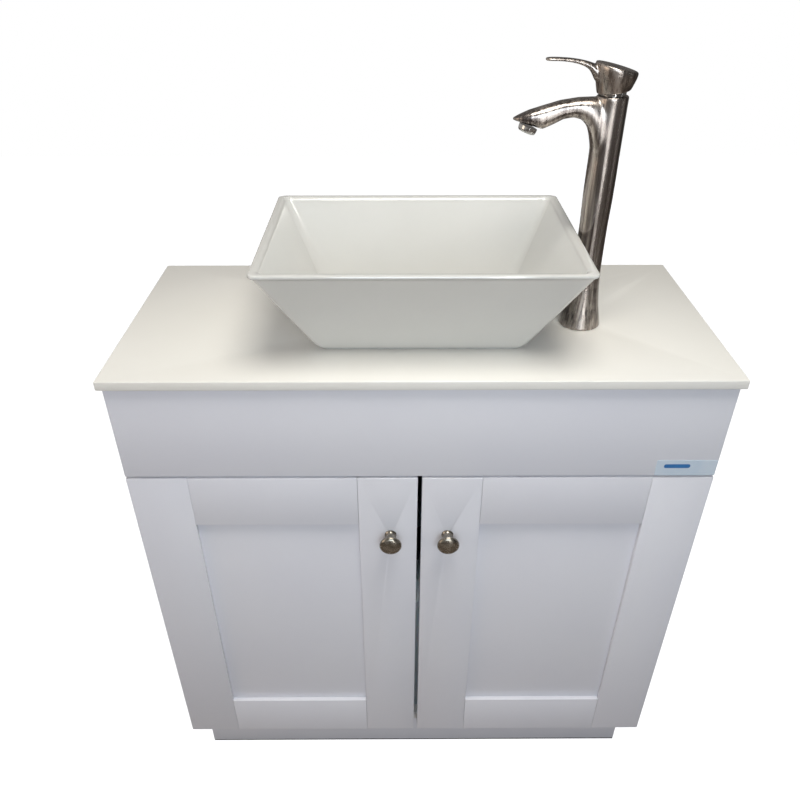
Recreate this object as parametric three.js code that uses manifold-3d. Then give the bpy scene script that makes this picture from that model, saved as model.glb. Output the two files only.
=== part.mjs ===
// Portable handwash sink: a vanity cabinet on a plinth with its own water tanks, pump and heater,
// a solid-surface counter, a vessel basin and a tall single-lever tap.
// Millimetres, +Z up, +X to the right as one faces the doors, origin at the base's centre.
import * as THREE from "three";
import { mergeVertices } from "three/addons/utils/BufferGeometryUtils.js";
import Module from "manifold-3d";

const wasm = await Module();
wasm.setup();

// Clearances.
const SEAT = 0.3; // between pieces that rest on each other
const RUNNING = 0.3; // round a pin, stem or spigot that turns or slides

// Counter.
const COUNTER_WIDTH = 775;
const COUNTER_DEPTH = 358;
const COUNTER_THICK = 12;
const COUNTER_TOP = 812;
const FRONT_OVERHANG = 7;
const SIDE_OVERHANG = 5;
const BACK_OVERHANG = 6;

// Cabinet.
const BOARD = 16;
const BACK_THICK = 6;
const BACK_RECESS = 4;
const RAIL_HEIGHT = 100;
const FALSE_FRONT_DROP = 146;
const REVEAL = 3;
const BUMPER_GAP = 2;

// Plinth.
const PLINTH_TOP = 116;
const PLINTH_SETBACK = 55;
const PLINTH_INSET = 10;
const GLIDE_HEIGHT = 3;
const GLIDE_RADIUS = 13;
const GLIDE_SETBACK = 34;

// Doors.
const DOOR_THICK = 19;
const DOOR_GAP = 6;
const DOOR_TOP_DROP = 149.5;
const DOOR_BOTTOM_LIFT = 1;
const FRAME_WIDTH = 79;
const SEAM = 0.4;
const PANEL_THICK = 6;
const PANEL_RECESS = 7;
const GROOVE_DEPTH = 8;
const KNOB_FROM_EDGE = 36;
const KNOB_DROP = 247;
const KNOB_RADIUS = 15;
const KNOB_REACH = 28;
const KNOB_SCREW_RADIUS = 2;

// Pivot hinges.
const PIN_RADIUS = 3;
const PIN_DEPTH = 12;
const PIN_FROM_EDGE = 5.5;
const LEAF_THICK = 2;
const HINGE_GAP = 0.7;
const LEAF_WIDTH = 9;
const LEAF_TAB = 36;
const LEAF_REACH = 30;

// Basin.
const BASIN_WIDTH = 390;
const BASIN_DEPTH = 290;
const BASIN_FOOT_WIDTH = 263;
const BASIN_FOOT_DEPTH = 163;
const BASIN_HEIGHT = 125;
const BASIN_SETBACK = 158;
const BASIN_WALL = 9;
const BASIN_FLOOR = 9;
const BASIN_LIP = 5;
const BASIN_CORNER = 9;

// Drain.
const DRAIN_RADIUS = 20;
const DRAIN_BORE = 16;
const DRAIN_LENGTH = 76;
const FLANGE_RADIUS = 31;
const FLANGE_THICK = 3;
const STOPPER_RADIUS = 25;
const STOPPER_STEM = 4.5;
const TAILPIECE_DROP = 172;

// Tap, from the axis of its column and the counter's top.
const TAP_X = 215;
const TAP_SETBACK = 156;
const TAP_TOP = 281;
const TAP_RADIUS = 18;
const SPOUT_WIDTH = 26;
const LEVER_WIDTH = 14;
const SHANK_RADIUS = 13;
const SHANK_LENGTH = 68;
const PIVOT_HEIGHT = 284;
const DOME_RADIUS = 14.5;
const CUP_BORE = 16.2;

// Tanks, pump and heater.
const TANK_DEPTH = 236;
const TANK_WALL = 3;
const WASTE_WIDTH = 205;
const WASTE_HEIGHT = 320;
const FRESH_WIDTH = 185;
const FRESH_HEIGHT = 290;
const NECK_RADIUS = 29;
const NECK_BORE = 24;
const NECK_HEIGHT = 20;
const CAP_RADIUS = 34;
const CAP_HEIGHT = 22;
const HEATER_WIDTH = 160;
const HEATER_DEPTH = 180;
const HEATER_HEIGHT = 220;
const PUMP_DROP = 246;
const PUMP_RADIUS = 28;
const PUMP_LENGTH = 76;
const HEAD_SIZE = 56;
const HOSE_RADIUS = 6;
const DRAIN_HOSE_WALL = 3;
const SIDE_CLEARANCE = 12;

// Planes worked out from the sizes above. The knobs reach past the counter's front edge.
const KNOB_PROUD = KNOB_REACH - FRONT_OVERHANG;
const COUNTER_FRONT = -(COUNTER_DEPTH + KNOB_PROUD) / 2 + KNOB_PROUD;
const COUNTER_BACK = COUNTER_FRONT + COUNTER_DEPTH;
const COUNTER_UNDER = COUNTER_TOP - COUNTER_THICK;
const FACE = COUNTER_FRONT + FRONT_OVERHANG;
const DOOR_BACK = FACE + DOOR_THICK;
const CARCASS_FRONT = DOOR_BACK + BUMPER_GAP;
const CARCASS_BACK = COUNTER_BACK - BACK_OVERHANG;
const BACK_FACE = CARCASS_BACK - BACK_RECESS;
const BACK_INNER = BACK_FACE - BACK_THICK;
const SIDE_OUTER = COUNTER_WIDTH / 2 - SIDE_OVERHANG;
const SIDE_INNER = SIDE_OUTER - BOARD;
const CARCASS_TOP = COUNTER_UNDER - SEAT;
const FLOOR_TOP = PLINTH_TOP + BOARD;
const BASIN_Y = COUNTER_FRONT + BASIN_SETBACK;
const BASIN_BASE = COUNTER_TOP + SEAT;
const BASIN_FLOOR_TOP = BASIN_BASE + BASIN_FLOOR;
const TAP_Y = COUNTER_FRONT + TAP_SETBACK;
const DOOR_TOP = COUNTER_TOP - DOOR_TOP_DROP;
const DOOR_BOTTOM = PLINTH_TOP + DOOR_BOTTOM_LIFT;
const PUMP_Z = COUNTER_TOP - PUMP_DROP;
const PUMP_X = SIDE_INNER - SIDE_CLEARANCE - PUMP_LENGTH - HEAD_SIZE / 2 - 20;
const PUMP_Y = BACK_INNER - 8 - PUMP_RADIUS - SEAT;

function finish(color, roughness, metalness = 0) {
  return new THREE.MeshStandardMaterial({ color, roughness, metalness });
}

const whitePaint = finish(0xf2f1f4, 0.42);
const carcassBoard = finish(0xe4e2de, 0.6);
const solidSurface = finish(0xeeece6, 0.38);
const ceramic = finish(0xe9e8e3, 0.08);
const nickel = finish(0x9a938c, 0.3, 1);
const steel = finish(0xb4b4b6, 0.35, 1);
const brass = finish(0xb08d4c, 0.35, 1);
const rubber = finish(0x1c1c1d, 0.8);
const blackPlastic = finish(0x232326, 0.5);
const whitePlastic = finish(0xe8e8e6, 0.4);
const tankPlastic = finish(0xdfe4e6, 0.45);
const greyTank = finish(0x8d9195, 0.5);
const hosePlastic = finish(0xcfd4d8, 0.35);

const sink = new THREE.Group();

function place(name, geometry, material, parent = sink, position = [0, 0, 0]) {
  const mesh = new THREE.Mesh(geometry, material);
  mesh.name = name;
  mesh.position.set(...position);
  parent.add(mesh);
  return mesh;
}

// A board or block between two opposite corners, placed by its centre.
function board(name, low, high, material, parent = sink) {
  const size = high.map((value, i) => value - low[i]);
  const centre = high.map((value, i) => (value + low[i]) / 2);
  return place(name, new THREE.BoxGeometry(...size), material, parent, centre);
}

function block(low, high) {
  const size = high.map((value, i) => value - low[i]);
  const centre = high.map((value, i) => (value + low[i]) / 2);
  return new THREE.BoxGeometry(...size).translate(...centre);
}

// A turned piece: profile points are [radius, height], and the axis is +Z.
function turned(profile, segments = 32) {
  const points = profile.map(([radius, height]) => new THREE.Vector2(radius, height));
  return new THREE.LatheGeometry(points, segments).rotateX(Math.PI / 2);
}

function rod(radius, low, high, segments = 24) {
  return turned([[0, low], [radius, low], [radius, high], [0, high]], segments);
}

function sleeve(bore, radius, low, high, segments = 32) {
  return turned([[bore, low], [radius, low], [radius, high], [bore, high], [bore, low]], segments);
}

// The outline of a rectangle with round corners, as [x, y] points.
function roundedOutline(width, depth, radius, steps = 4) {
  const points = [];
  const corners = [[1, 1, 0], [-1, 1, 90], [-1, -1, 180], [1, -1, 270]];
  for (const [sx, sy, start] of corners) {
    for (let i = 0; i <= steps; i += 1) {
      const angle = THREE.MathUtils.degToRad(start + (90 * i) / steps);
      const x = sx * (width / 2 - radius) + radius * Math.cos(angle);
      const y = sy * (depth / 2 - radius) + radius * Math.sin(angle);
      points.push([x, y]);
    }
  }
  return points;
}

// A closed skin through outlines of the same count of points, each at its own height.
function lofted(outlines, heights) {
  const count = outlines[0].length;
  const vertices = outlines.flatMap((outline, k) => outline.flatMap(([x, y]) => [x, y, heights[k]]));
  const faces = [];
  for (let k = 0; k < outlines.length - 1; k += 1) {
    for (let i = 0; i < count; i += 1) {
      const a = k * count + i;
      const b = k * count + ((i + 1) % count);
      faces.push(a, b, b + count, a, b + count, a + count);
    }
  }
  for (let i = 1; i < count - 1; i += 1) {
    const top = (outlines.length - 1) * count;
    faces.push(0, i + 1, i);
    faces.push(top, top + i, top + i + 1);
  }
  const geometry = new THREE.BufferGeometry();
  geometry.setAttribute("position", new THREE.Float32BufferAttribute(vertices, 3));
  geometry.setIndex(faces);
  return geometry;
}

function roundBlock(width, depth, low, high, radius, chamfer) {
  const full = roundedOutline(width, depth, radius);
  const small = roundedOutline(width - 2 * chamfer, depth - 2 * chamfer, radius - chamfer / 2);
  return lofted([small, full, full, small], [low, low + chamfer, high - chamfer, high]);
}

// A tube or hose along a smooth route, which ends square to its first and last stretch.
function tubeAlong(points, radius, steps, bore = 0, sides = 6) {
  const route = new THREE.CatmullRomCurve3(points.map((point) => new THREE.Vector3(...point)));
  const section = new THREE.Shape().absarc(0, 0, radius, 0, Math.PI * 2);
  if (bore > 0) {
    section.holes.push(new THREE.Path().absarc(0, 0, bore, 0, Math.PI * 2, true));
  }
  const settings = { steps, extrudePath: route, curveSegments: sides };
  return new THREE.ExtrudeGeometry(section, settings);
}

function solidOf(geometry) {
  const bare = geometry.clone();
  bare.deleteAttribute("normal");
  bare.deleteAttribute("uv");
  const merged = mergeVertices(bare, 1e-3);
  const vertProperties = new Float32Array(merged.attributes.position.array);
  const triVerts = new Uint32Array(merged.index.array);
  return new wasm.Manifold(new wasm.Mesh({ numProp: 3, vertProperties, triVerts }));
}

function geometryOf(solid) {
  const { vertProperties, triVerts } = solid.getMesh();
  const geometry = new THREE.BufferGeometry();
  geometry.setAttribute("position", new THREE.BufferAttribute(vertProperties, 3));
  geometry.setIndex(new THREE.BufferAttribute(triVerts, 1));
  const flat = geometry.toNonIndexed();
  flat.computeVertexNormals();
  return flat;
}

function joined(...pieces) {
  return geometryOf(pieces.map(solidOf).reduce((whole, piece) => whole.add(piece)));
}

function cut(stock, ...tools) {
  return geometryOf(tools.map(solidOf).reduce((whole, tool) => whole.subtract(tool), solidOf(stock)));
}

// ---- Cabinet -------------------------------------------------------------------------------

function makePlinth() {
  const front = FACE + PLINTH_SETBACK;
  const back = CARCASS_BACK - PLINTH_INSET;
  const half = SIDE_OUTER - PLINTH_INSET;
  const low = GLIDE_HEIGHT + SEAT;
  const high = PLINTH_TOP - SEAT;
  board("toe_kick", [-half, front, low], [half, front + BOARD, high], whitePaint);
  const sides = [front + BOARD + SEAT, back];
  const frame = joined(
    block([-half, back - BOARD, low], [half, back, high]),
    block([-half, sides[0], low], [-half + BOARD, sides[1], high]),
    block([half - BOARD, sides[0], low], [half, sides[1], high]));
  place("plinth_frame", frame, whitePaint);
  for (const [side, name] of [[-1, "left"], [1, "right"]]) {
    for (const [end, y] of [["front", front + GLIDE_SETBACK], ["rear", back - GLIDE_RADIUS]]) {
      const glide = turned([[0, 0], [GLIDE_RADIUS - 1, 0], [GLIDE_RADIUS, 1],
        [GLIDE_RADIUS, GLIDE_HEIGHT], [0, GLIDE_HEIGHT]], 24);
      place(`glide_${end}_${name}`, glide, rubber, sink, [side * (half - GLIDE_RADIUS), y, 0]);
    }
  }
}

function makeCarcass() {
  const bottom = PLINTH_TOP;
  board("cabinet_floor", [-SIDE_INNER + SEAT, CARCASS_FRONT, bottom],
    [SIDE_INNER - SEAT, CARCASS_BACK, FLOOR_TOP], carcassBoard);
  for (const [side, name] of [[-1, "left"], [1, "right"]]) {
    const x = [side * SIDE_INNER, side * SIDE_OUTER].sort((a, b) => a - b);
    board(`${name}_side_panel`, [x[0], CARCASS_FRONT, bottom],
      [x[1], CARCASS_BACK, CARCASS_TOP], whitePaint);
  }
  const inner = SIDE_INNER - SEAT;
  board("front_rail", [-inner, DOOR_BACK + SEAT, CARCASS_TOP - RAIL_HEIGHT],
    [inner, DOOR_BACK + SEAT + BOARD, CARCASS_TOP], carcassBoard);
  board("rear_rail", [-inner, BACK_INNER - SEAT - BOARD, CARCASS_TOP - RAIL_HEIGHT],
    [inner, BACK_INNER - SEAT, CARCASS_TOP], carcassBoard);
  board("false_front", [-SIDE_OUTER, FACE, COUNTER_TOP - FALSE_FRONT_DROP],
    [SIDE_OUTER, DOOR_BACK, COUNTER_UNDER - REVEAL], whitePaint);
}

const INLET_WIDTH = 31;
const INLET_HEIGHT = 27;
const SWITCH_WIDTH = 21;
const SWITCH_HEIGHT = 15;
const SERVICE_X = SIDE_INNER - 70;
const SERVICE_Z = FLOOR_TOP + 60;

function makeBackPanel() {
  const inner = SIDE_INNER - SEAT;
  const sheet = block([-inner, BACK_INNER, FLOOR_TOP + SEAT], [inner, BACK_FACE, CARCASS_TOP]);
  const openings = [[INLET_WIDTH, INLET_HEIGHT, 0], [SWITCH_WIDTH, SWITCH_HEIGHT, 40]];
  const tools = openings.map(([width, height, lift]) => block(
    [SERVICE_X - width / 2, BACK_INNER - 1, SERVICE_Z + lift - height / 2],
    [SERVICE_X + width / 2, BACK_FACE + 1, SERVICE_Z + lift + height / 2]));
  place("back_panel", cut(sheet, ...tools), carcassBoard);
}

function makePowerInlet() {
  const w = INLET_WIDTH / 2 - SEAT;
  const h = INLET_HEIGHT / 2 - SEAT;
  const y = BACK_FACE + SEAT;
  const body = block([-w, BACK_INNER - 20, -h], [w, y + 1, h]);
  const flange = block([-w - 7, y, -h - 3], [w + 7, y + 3, h + 3]);
  const well = block([-12, BACK_INNER - 14, -8], [12, y + 4, 8]);
  const shell = cut(joined(body, flange), well);
  place("power_inlet", shell, blackPlastic, sink, [SERVICE_X, 0, SERVICE_Z]);
}

function makeRockerSwitch() {
  const w = SWITCH_WIDTH / 2 - SEAT;
  const h = SWITCH_HEIGHT / 2 - SEAT;
  const y = BACK_FACE + SEAT;
  const z = SERVICE_Z + 40;
  const body = block([-w, BACK_INNER - 12, -h], [w, y + 1, h]);
  const flange = block([-w - 3, y, -h - 3], [w + 3, y + 2, h + 3]);
  const well = block([-8.5, y - 7, -6], [8.5, y + 3, 6]);
  place("switch_frame", cut(joined(body, flange), well), blackPlastic, sink, [SERVICE_X, 0, z]);
  const outline = new THREE.Shape();
  outline.moveTo(-7.4, -0.8);
  outline.lineTo(0, -3.4);
  outline.lineTo(7.4, -0.8);
  outline.lineTo(7, 2.6);
  outline.lineTo(0, 0.6);
  outline.lineTo(-7, 2.6);
  const rocker = new THREE.ExtrudeGeometry(outline, { depth: 11, bevelEnabled: false });
  rocker.translate(0, 0, -5.5);
  const mesh = place("switch_rocker", rocker, blackPlastic, sink, [SERVICE_X, y - 0.6, z]);
  mesh.rotation.z = THREE.MathUtils.degToRad(-6);
}

function makeCounter() {
  const half = COUNTER_WIDTH / 2;
  const slab = block([-half, COUNTER_FRONT, COUNTER_UNDER], [half, COUNTER_BACK, COUNTER_TOP]);
  const drainHole = rod(DRAIN_RADIUS + 4, COUNTER_UNDER - 1, COUNTER_TOP + 1, 32)
    .translate(0, BASIN_Y, 0);
  const tapHole = rod(SHANK_RADIUS + 3, COUNTER_UNDER - 1, COUNTER_TOP + 1, 32)
    .translate(TAP_X, TAP_Y, 0);
  place("countertop", cut(slab, drainHole, tapHole), solidSurface);
}

// ---- Doors ---------------------------------------------------------------------------------

function pinX(side) {
  return side * (SIDE_OUTER - PIN_FROM_EDGE);
}

const PIN_Y = (FACE + DOOR_BACK) / 2;

// A frame member with a groove along the edge that faces the panel (edge is -1 or +1 in X).
function makeStile(low, high, edge, holes) {
  const stock = block([low, FACE, DOOR_BOTTOM], [high, DOOR_BACK, DOOR_TOP]);
  const x = edge > 0 ? [high - GROOVE_DEPTH, high + 1] : [low - 1, low + GROOVE_DEPTH];
  const groove = block([x[0], FACE + PANEL_RECESS - SEAT, DOOR_BOTTOM - 1],
    [x[1], FACE + PANEL_RECESS + PANEL_THICK + SEAT, DOOR_TOP + 1]);
  return cut(stock, groove, ...holes);
}

function makeRail(low, high, bottom, top, edge) {
  const stock = block([low + SEAM, FACE, bottom], [high - SEAM, DOOR_BACK, top]);
  const reach = GROOVE_DEPTH - SEAM;
  const tenon = block([low - reach, FACE + PANEL_RECESS, bottom],
    [high + reach, FACE + PANEL_RECESS + PANEL_THICK, top]);
  const z = edge > 0 ? [top - GROOVE_DEPTH, top + 1] : [bottom - 1, bottom + GROOVE_DEPTH];
  const groove = block([low - GROOVE_DEPTH - 1, FACE + PANEL_RECESS - SEAT, z[0]],
    [high + GROOVE_DEPTH + 1, FACE + PANEL_RECESS + PANEL_THICK + SEAT, z[1]]);
  return cut(joined(stock, tenon), groove);
}

// A knob with its screw, which runs through the stile from a head behind it.
function makeKnob(name, x, z) {
  const behind = -DOOR_THICK - SEAT;
  const knob = turned([[0, behind - 3], [4.2, behind - 3], [5, behind - 2], [5, behind],
    [KNOB_SCREW_RADIUS, behind], [KNOB_SCREW_RADIUS, SEAT], [8, SEAT], [8, 1.6], [6, 4],
    [5.6, 9], [6.4, 14], [10, 18], [KNOB_RADIUS - 0.6, 20.4], [KNOB_RADIUS, 22],
    [KNOB_RADIUS - 0.6, 24], [12.4, 26], [7, KNOB_REACH - 0.5], [0, KNOB_REACH]], 24);
  place(`${name}_knob`, knob.rotateX(Math.PI / 2), nickel, sink, [x, FACE, z]);
}

function makeDoor(side, name) {
  const outer = side * SIDE_OUTER;
  const inner = (side * DOOR_GAP) / 2;
  const knobX = inner + side * KNOB_FROM_EDGE;
  const knobZ = COUNTER_TOP - KNOB_DROP;
  const [outerLow, outerHigh] = [outer, outer - side * FRAME_WIDTH].sort((a, b) => a - b);
  const [innerLow, innerHigh] = [inner, inner + side * FRAME_WIDTH].sort((a, b) => a - b);
  const sockets = [[DOOR_BOTTOM - 1, DOOR_BOTTOM + PIN_DEPTH + 2],
    [DOOR_TOP - PIN_DEPTH - 2, DOOR_TOP + 1]].map(([low, high]) => rod(
    PIN_RADIUS + RUNNING, low, high).translate(pinX(side), PIN_Y, 0));
  const knobHole = rod(KNOB_SCREW_RADIUS + RUNNING, -1, DOOR_THICK + 1, 16)
    .rotateX(-Math.PI / 2).translate(knobX, FACE, knobZ);
  place(`${name}_door_hinge_stile`, makeStile(outerLow, outerHigh, -side, sockets), whitePaint);
  place(`${name}_door_lock_stile`, makeStile(innerLow, innerHigh, side, [knobHole]), whitePaint);
  const low = side > 0 ? innerHigh : outerHigh;
  const high = side > 0 ? outerLow : innerLow;
  place(`${name}_door_top_rail`,
    makeRail(low, high, DOOR_TOP - FRAME_WIDTH, DOOR_TOP, -1), whitePaint);
  place(`${name}_door_bottom_rail`,
    makeRail(low, high, DOOR_BOTTOM, DOOR_BOTTOM + FRAME_WIDTH, 1), whitePaint);
  const reach = GROOVE_DEPTH - SEAM;
  board(`${name}_door_panel`,
    [low - reach, FACE + PANEL_RECESS, DOOR_BOTTOM + FRAME_WIDTH - reach],
    [high + reach, FACE + PANEL_RECESS + PANEL_THICK, DOOR_TOP - FRAME_WIDTH + reach], whitePaint);
  makeKnob(name, knobX, knobZ);
}

// The upper leaf lies in the gap over the door. Its pin drops into the door's top edge and its tab
// is screwed to the side panel's inner face.
function makeTopHinge(side, name) {
  const x = pinX(side);
  const wall = side * (SIDE_INNER - SEAT);
  const inward = wall - side * (LEAF_THICK + 2);
  const half = LEAF_WIDTH / 2;
  const span = (a, b) => [Math.min(a, b), Math.max(a, b)];
  const [armLow, armHigh] = span(x + side * (PIN_FROM_EDGE - 1), inward);
  const [shelfLow, shelfHigh] = span(wall, inward);
  const [tabLow, tabHigh] = span(wall, wall - side * LEAF_THICK);
  const back = CARCASS_FRONT + LEAF_REACH;
  const low = DOOR_TOP + HINGE_GAP;
  const high = low + LEAF_THICK;
  const arm = block([armLow, PIN_Y - half, low], [armHigh, PIN_Y + half, high]);
  const shelf = block([shelfLow, PIN_Y - half, low], [shelfHigh, back, high]);
  const tab = block([tabLow, CARCASS_FRONT + 4, low - LEAF_TAB], [tabHigh, back, high]);
  const pin = rod(PIN_RADIUS, DOOR_TOP - PIN_DEPTH, high).translate(x, PIN_Y, 0);
  place(name, joined(arm, shelf, tab, pin), steel);
}

// The lower leaf runs back under the cabinet's floor, and its pin stands up into the door.
function makeBottomHinge(side, name) {
  const x = pinX(side);
  const half = LEAF_WIDTH;
  const high = PLINTH_TOP - SEAT;
  const low = high - LEAF_THICK;
  const plate = block([x - PIN_FROM_EDGE, PIN_Y - half / 2, low],
    [x + PIN_FROM_EDGE, CARCASS_FRONT + LEAF_REACH, high]);
  const pin = rod(PIN_RADIUS, low, DOOR_BOTTOM + PIN_DEPTH).translate(x, PIN_Y, 0);
  place(name, joined(plate, pin), steel);
}

function makeDoors() {
  for (const [side, name] of [[-1, "left"], [1, "right"]]) {
    makeDoor(side, name);
    makeTopHinge(side, `hinge_top_${name}`);
    makeBottomHinge(side, `hinge_bottom_${name}`);
  }
}

// ---- Basin and drain -----------------------------------------------------------------------

function makeBasin() {
  const slope = (BASIN_WIDTH - BASIN_FOOT_WIDTH) / 2 / BASIN_HEIGHT;
  const outline = (inset, share, radius) => roundedOutline(
    BASIN_FOOT_WIDTH + (BASIN_WIDTH - BASIN_FOOT_WIDTH) * share - 2 * inset,
    BASIN_FOOT_DEPTH + (BASIN_DEPTH - BASIN_FOOT_DEPTH) * share - 2 * inset, radius);
  const lipShare = 1 - BASIN_LIP / BASIN_HEIGHT;
  const outer = lofted(
    [outline(3, 0, BASIN_CORNER), outline(0, 0.02, BASIN_CORNER),
      outline(0, lipShare, BASIN_CORNER), outline(0, 1, BASIN_CORNER),
      outline(1.5, 1, BASIN_CORNER - 1)],
    [0, 2, BASIN_HEIGHT - BASIN_LIP, BASIN_HEIGHT - 1.5, BASIN_HEIGHT]);
  const wall = BASIN_WALL * Math.hypot(1, slope);
  const bowl = lofted(
    [outline(wall + 22, BASIN_FLOOR / BASIN_HEIGHT, 14),
      outline(wall + 5, (BASIN_FLOOR + 8) / BASIN_HEIGHT, 18),
      outline(wall - 1, 1, BASIN_CORNER), outline(wall - 2, 1, BASIN_CORNER)],
    [BASIN_FLOOR, BASIN_FLOOR + 8, BASIN_HEIGHT - 1.5, BASIN_HEIGHT + 1]);
  const outlet = rod(DRAIN_RADIUS + 2, -1, BASIN_FLOOR + 1, 32);
  place("basin", cut(outer, bowl, outlet), ceramic, sink, [0, BASIN_Y, BASIN_BASE]);
}

function makeDrain() {
  const drain = new THREE.Group();
  drain.position.set(0, BASIN_Y, BASIN_FLOOR_TOP + SEAT);
  sink.add(drain);
  const under = COUNTER_UNDER - BASIN_FLOOR_TOP - SEAT;
  const body = turned([[DRAIN_BORE, -DRAIN_LENGTH], [DRAIN_RADIUS, -DRAIN_LENGTH],
    [DRAIN_RADIUS, 0], [FLANGE_RADIUS, 0], [FLANGE_RADIUS, 1.5],
    [FLANGE_RADIUS - 2, FLANGE_THICK], [DRAIN_BORE, FLANGE_THICK], [DRAIN_BORE, -DRAIN_LENGTH]]);
  const bridge = block([-DRAIN_BORE - 1, -3, -34], [DRAIN_BORE + 1, 3, -30]);
  const guide = rod(STOPPER_STEM + RUNNING, -40, -20, 16);
  place("drain_body", cut(joined(body, bridge), guide), steel, drain);
  const stopper = turned([[0, -38], [STOPPER_STEM, -38], [STOPPER_STEM, FLANGE_THICK + SEAT],
    [STOPPER_RADIUS, FLANGE_THICK + SEAT], [STOPPER_RADIUS, FLANGE_THICK + 2],
    [STOPPER_RADIUS - 3, FLANGE_THICK + 4.4], [12, FLANGE_THICK + 6], [0, FLANGE_THICK + 6.5]]);
  place("drain_stopper", stopper, steel, drain);
  place("drain_nut", turned([[DRAIN_RADIUS + RUNNING, under - 14], [30, under - 14],
    [31, under - SEAT], [DRAIN_RADIUS + RUNNING, under - SEAT],
    [DRAIN_RADIUS + RUNNING, under - 14]], 24), whitePlastic, drain);
  const tail = -DRAIN_LENGTH;
  const end = COUNTER_TOP - TAILPIECE_DROP - BASIN_FLOOR_TOP - SEAT;
  const tube = DRAIN_BORE - RUNNING;
  place("tailpiece", turned([[tube - 2.2, end], [tube, end], [tube, tail - 5], [26, tail - 5],
    [26, tail + 13], [DRAIN_RADIUS + RUNNING, tail + 13], [DRAIN_RADIUS + RUNNING, tail - SEAT],
    [tube, tail - SEAT], [tube, tail + 10], [tube - 2.2, tail + 10], [tube - 2.2, end]], 24),
  whitePlastic, drain);
}

// ---- Tap -----------------------------------------------------------------------------------

const tap = new THREE.Group();
tap.position.set(TAP_X, TAP_Y, COUNTER_TOP);
sink.add(tap);

// A side view given as [x, z] points, made into a plate across Y.
function sidePlate(points, width, bevel) {
  const outline = new THREE.Shape(points.map(([x, z]) => new THREE.Vector2(x, z)));
  const settings = { depth: width - 2 * bevel, bevelEnabled: bevel > 0, bevelThickness: bevel,
    bevelSize: bevel, bevelOffset: -bevel, bevelSegments: 3 };
  const plate = new THREE.ExtrudeGeometry(outline, settings);
  return plate.translate(0, 0, -width / 2 + bevel).rotateX(Math.PI / 2);
}

function makeTapBody() {
  const column = turned([[0, 20], [SHANK_RADIUS + RUNNING, 20], [SHANK_RADIUS + RUNNING, SEAT],
    [27, SEAT], [26.4, 5], [24.4, 15], [21.8, 28], [19.6, 45], [17.9, 65], [17.2, 90],
    [17.1, 135], [TAP_RADIUS, 164], [TAP_RADIUS, TAP_TOP], [12.3, TAP_TOP], [12.3, 245],
    [0, 245]], 32);
  const spout = sidePlate([[-8, 279.5], [-20, 279.5], [-37.4, 279], [-57.9, 275.8],
    [-77.2, 270.5], [-92.1, 266.2], [-104.6, 261], [-111.5, 257.5], [-104.3, 253.1],
    [-81.1, 246.5], [-76.9, 245.4], [-65.4, 250.3], [-54.1, 256.4], [-42.6, 258.6],
    [-33, 256.4], [-25.4, 249.8], [-20, 238], [-17.5, 222], [-8, 216]], SPOUT_WIDTH, 4);
  const pocket = rod(12.3, 245, TAP_TOP + 1);
  place("tap_body", cut(joined(column, spout), pocket), nickel, tap);
}

function makeTapFittings() {
  place("tap_cartridge", turned([[0, 245.3], [12, 245.3], [12, TAP_TOP - 3], [0, TAP_TOP - 3]], 24),
    whitePlastic, tap);
  const tilt = THREE.MathUtils.degToRad(20);
  const aerator = turned([[0, 0], [9.4, 0], [10.4, 1.5], [11, 6.6], [0, 6.6]], 24);
  const mesh = place("tap_aerator", aerator, steel, tap, [-94.6, 0, 242]);
  mesh.rotation.y = tilt;
  place("tap_shank", sleeve(9, SHANK_RADIUS, -SHANK_LENGTH, 19.6, 24), brass, tap);
  const under = -COUNTER_THICK;
  place("tap_nut", turned([[SHANK_RADIUS + RUNNING, under - 14], [20, under - 14],
    [20, under - 5], [27, under - 4], [27, under - SEAT], [SHANK_RADIUS + RUNNING, under - SEAT],
    [SHANK_RADIUS + RUNNING, under - 14]], 24), brass, tap);
}

// The dome turns for temperature, and the lever tilts over it for flow.
function makeTapLever() {
  const rise = TAP_TOP + SEAT - PIVOT_HEIGHT;
  const profile = [[0, rise]];
  for (let i = 0; i <= 8; i += 1) {
    const start = Math.asin(rise / DOME_RADIUS);
    const angle = start + ((Math.PI / 2 - start) * i) / 8;
    profile.push([DOME_RADIUS * Math.cos(angle), DOME_RADIUS * Math.sin(angle)]);
  }
  profile[profile.length - 1][0] = 0;
  place("tap_dome", turned(profile, 24), nickel, tap, [0, 0, PIVOT_HEIGHT]);

  const cup = turned([[0, 281.8], [18.2, 281.8], [20.6, 286], [23.8, 296], [24.2, 300],
    [24, 320], [0, 320]], 32);
  const bore = rod(CUP_BORE, 270, PIVOT_HEIGHT + DOME_RADIUS + 0.5, 32);
  const topCut = block([-60, -40, 0], [60, 40, 30]).rotateY(THREE.MathUtils.degToRad(13));
  topCut.translate(0, 0, 310.4);
  const baseCut = block([-60, -40, -30], [60, 40, 0]).rotateY(THREE.MathUtils.degToRad(-7.5));
  baseCut.translate(0, 0, 284.9);
  const lever = sidePlate([[-10, 303], [-24, 308.6], [-34, 312.6], [-45, 315], [-60, 315.9],
    [-77.1, 315.2], [-80.1, 317.2], [-76, 319], [-54, 320], [-36, 318.6], [-20, 315],
    [-4, 311]], LEVER_WIDTH, 1.2);
  place("tap_lever", joined(cut(cup, bore, topCut, baseCut), lever), nickel, tap);
}

// ---- Water system --------------------------------------------------------------------------

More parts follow.
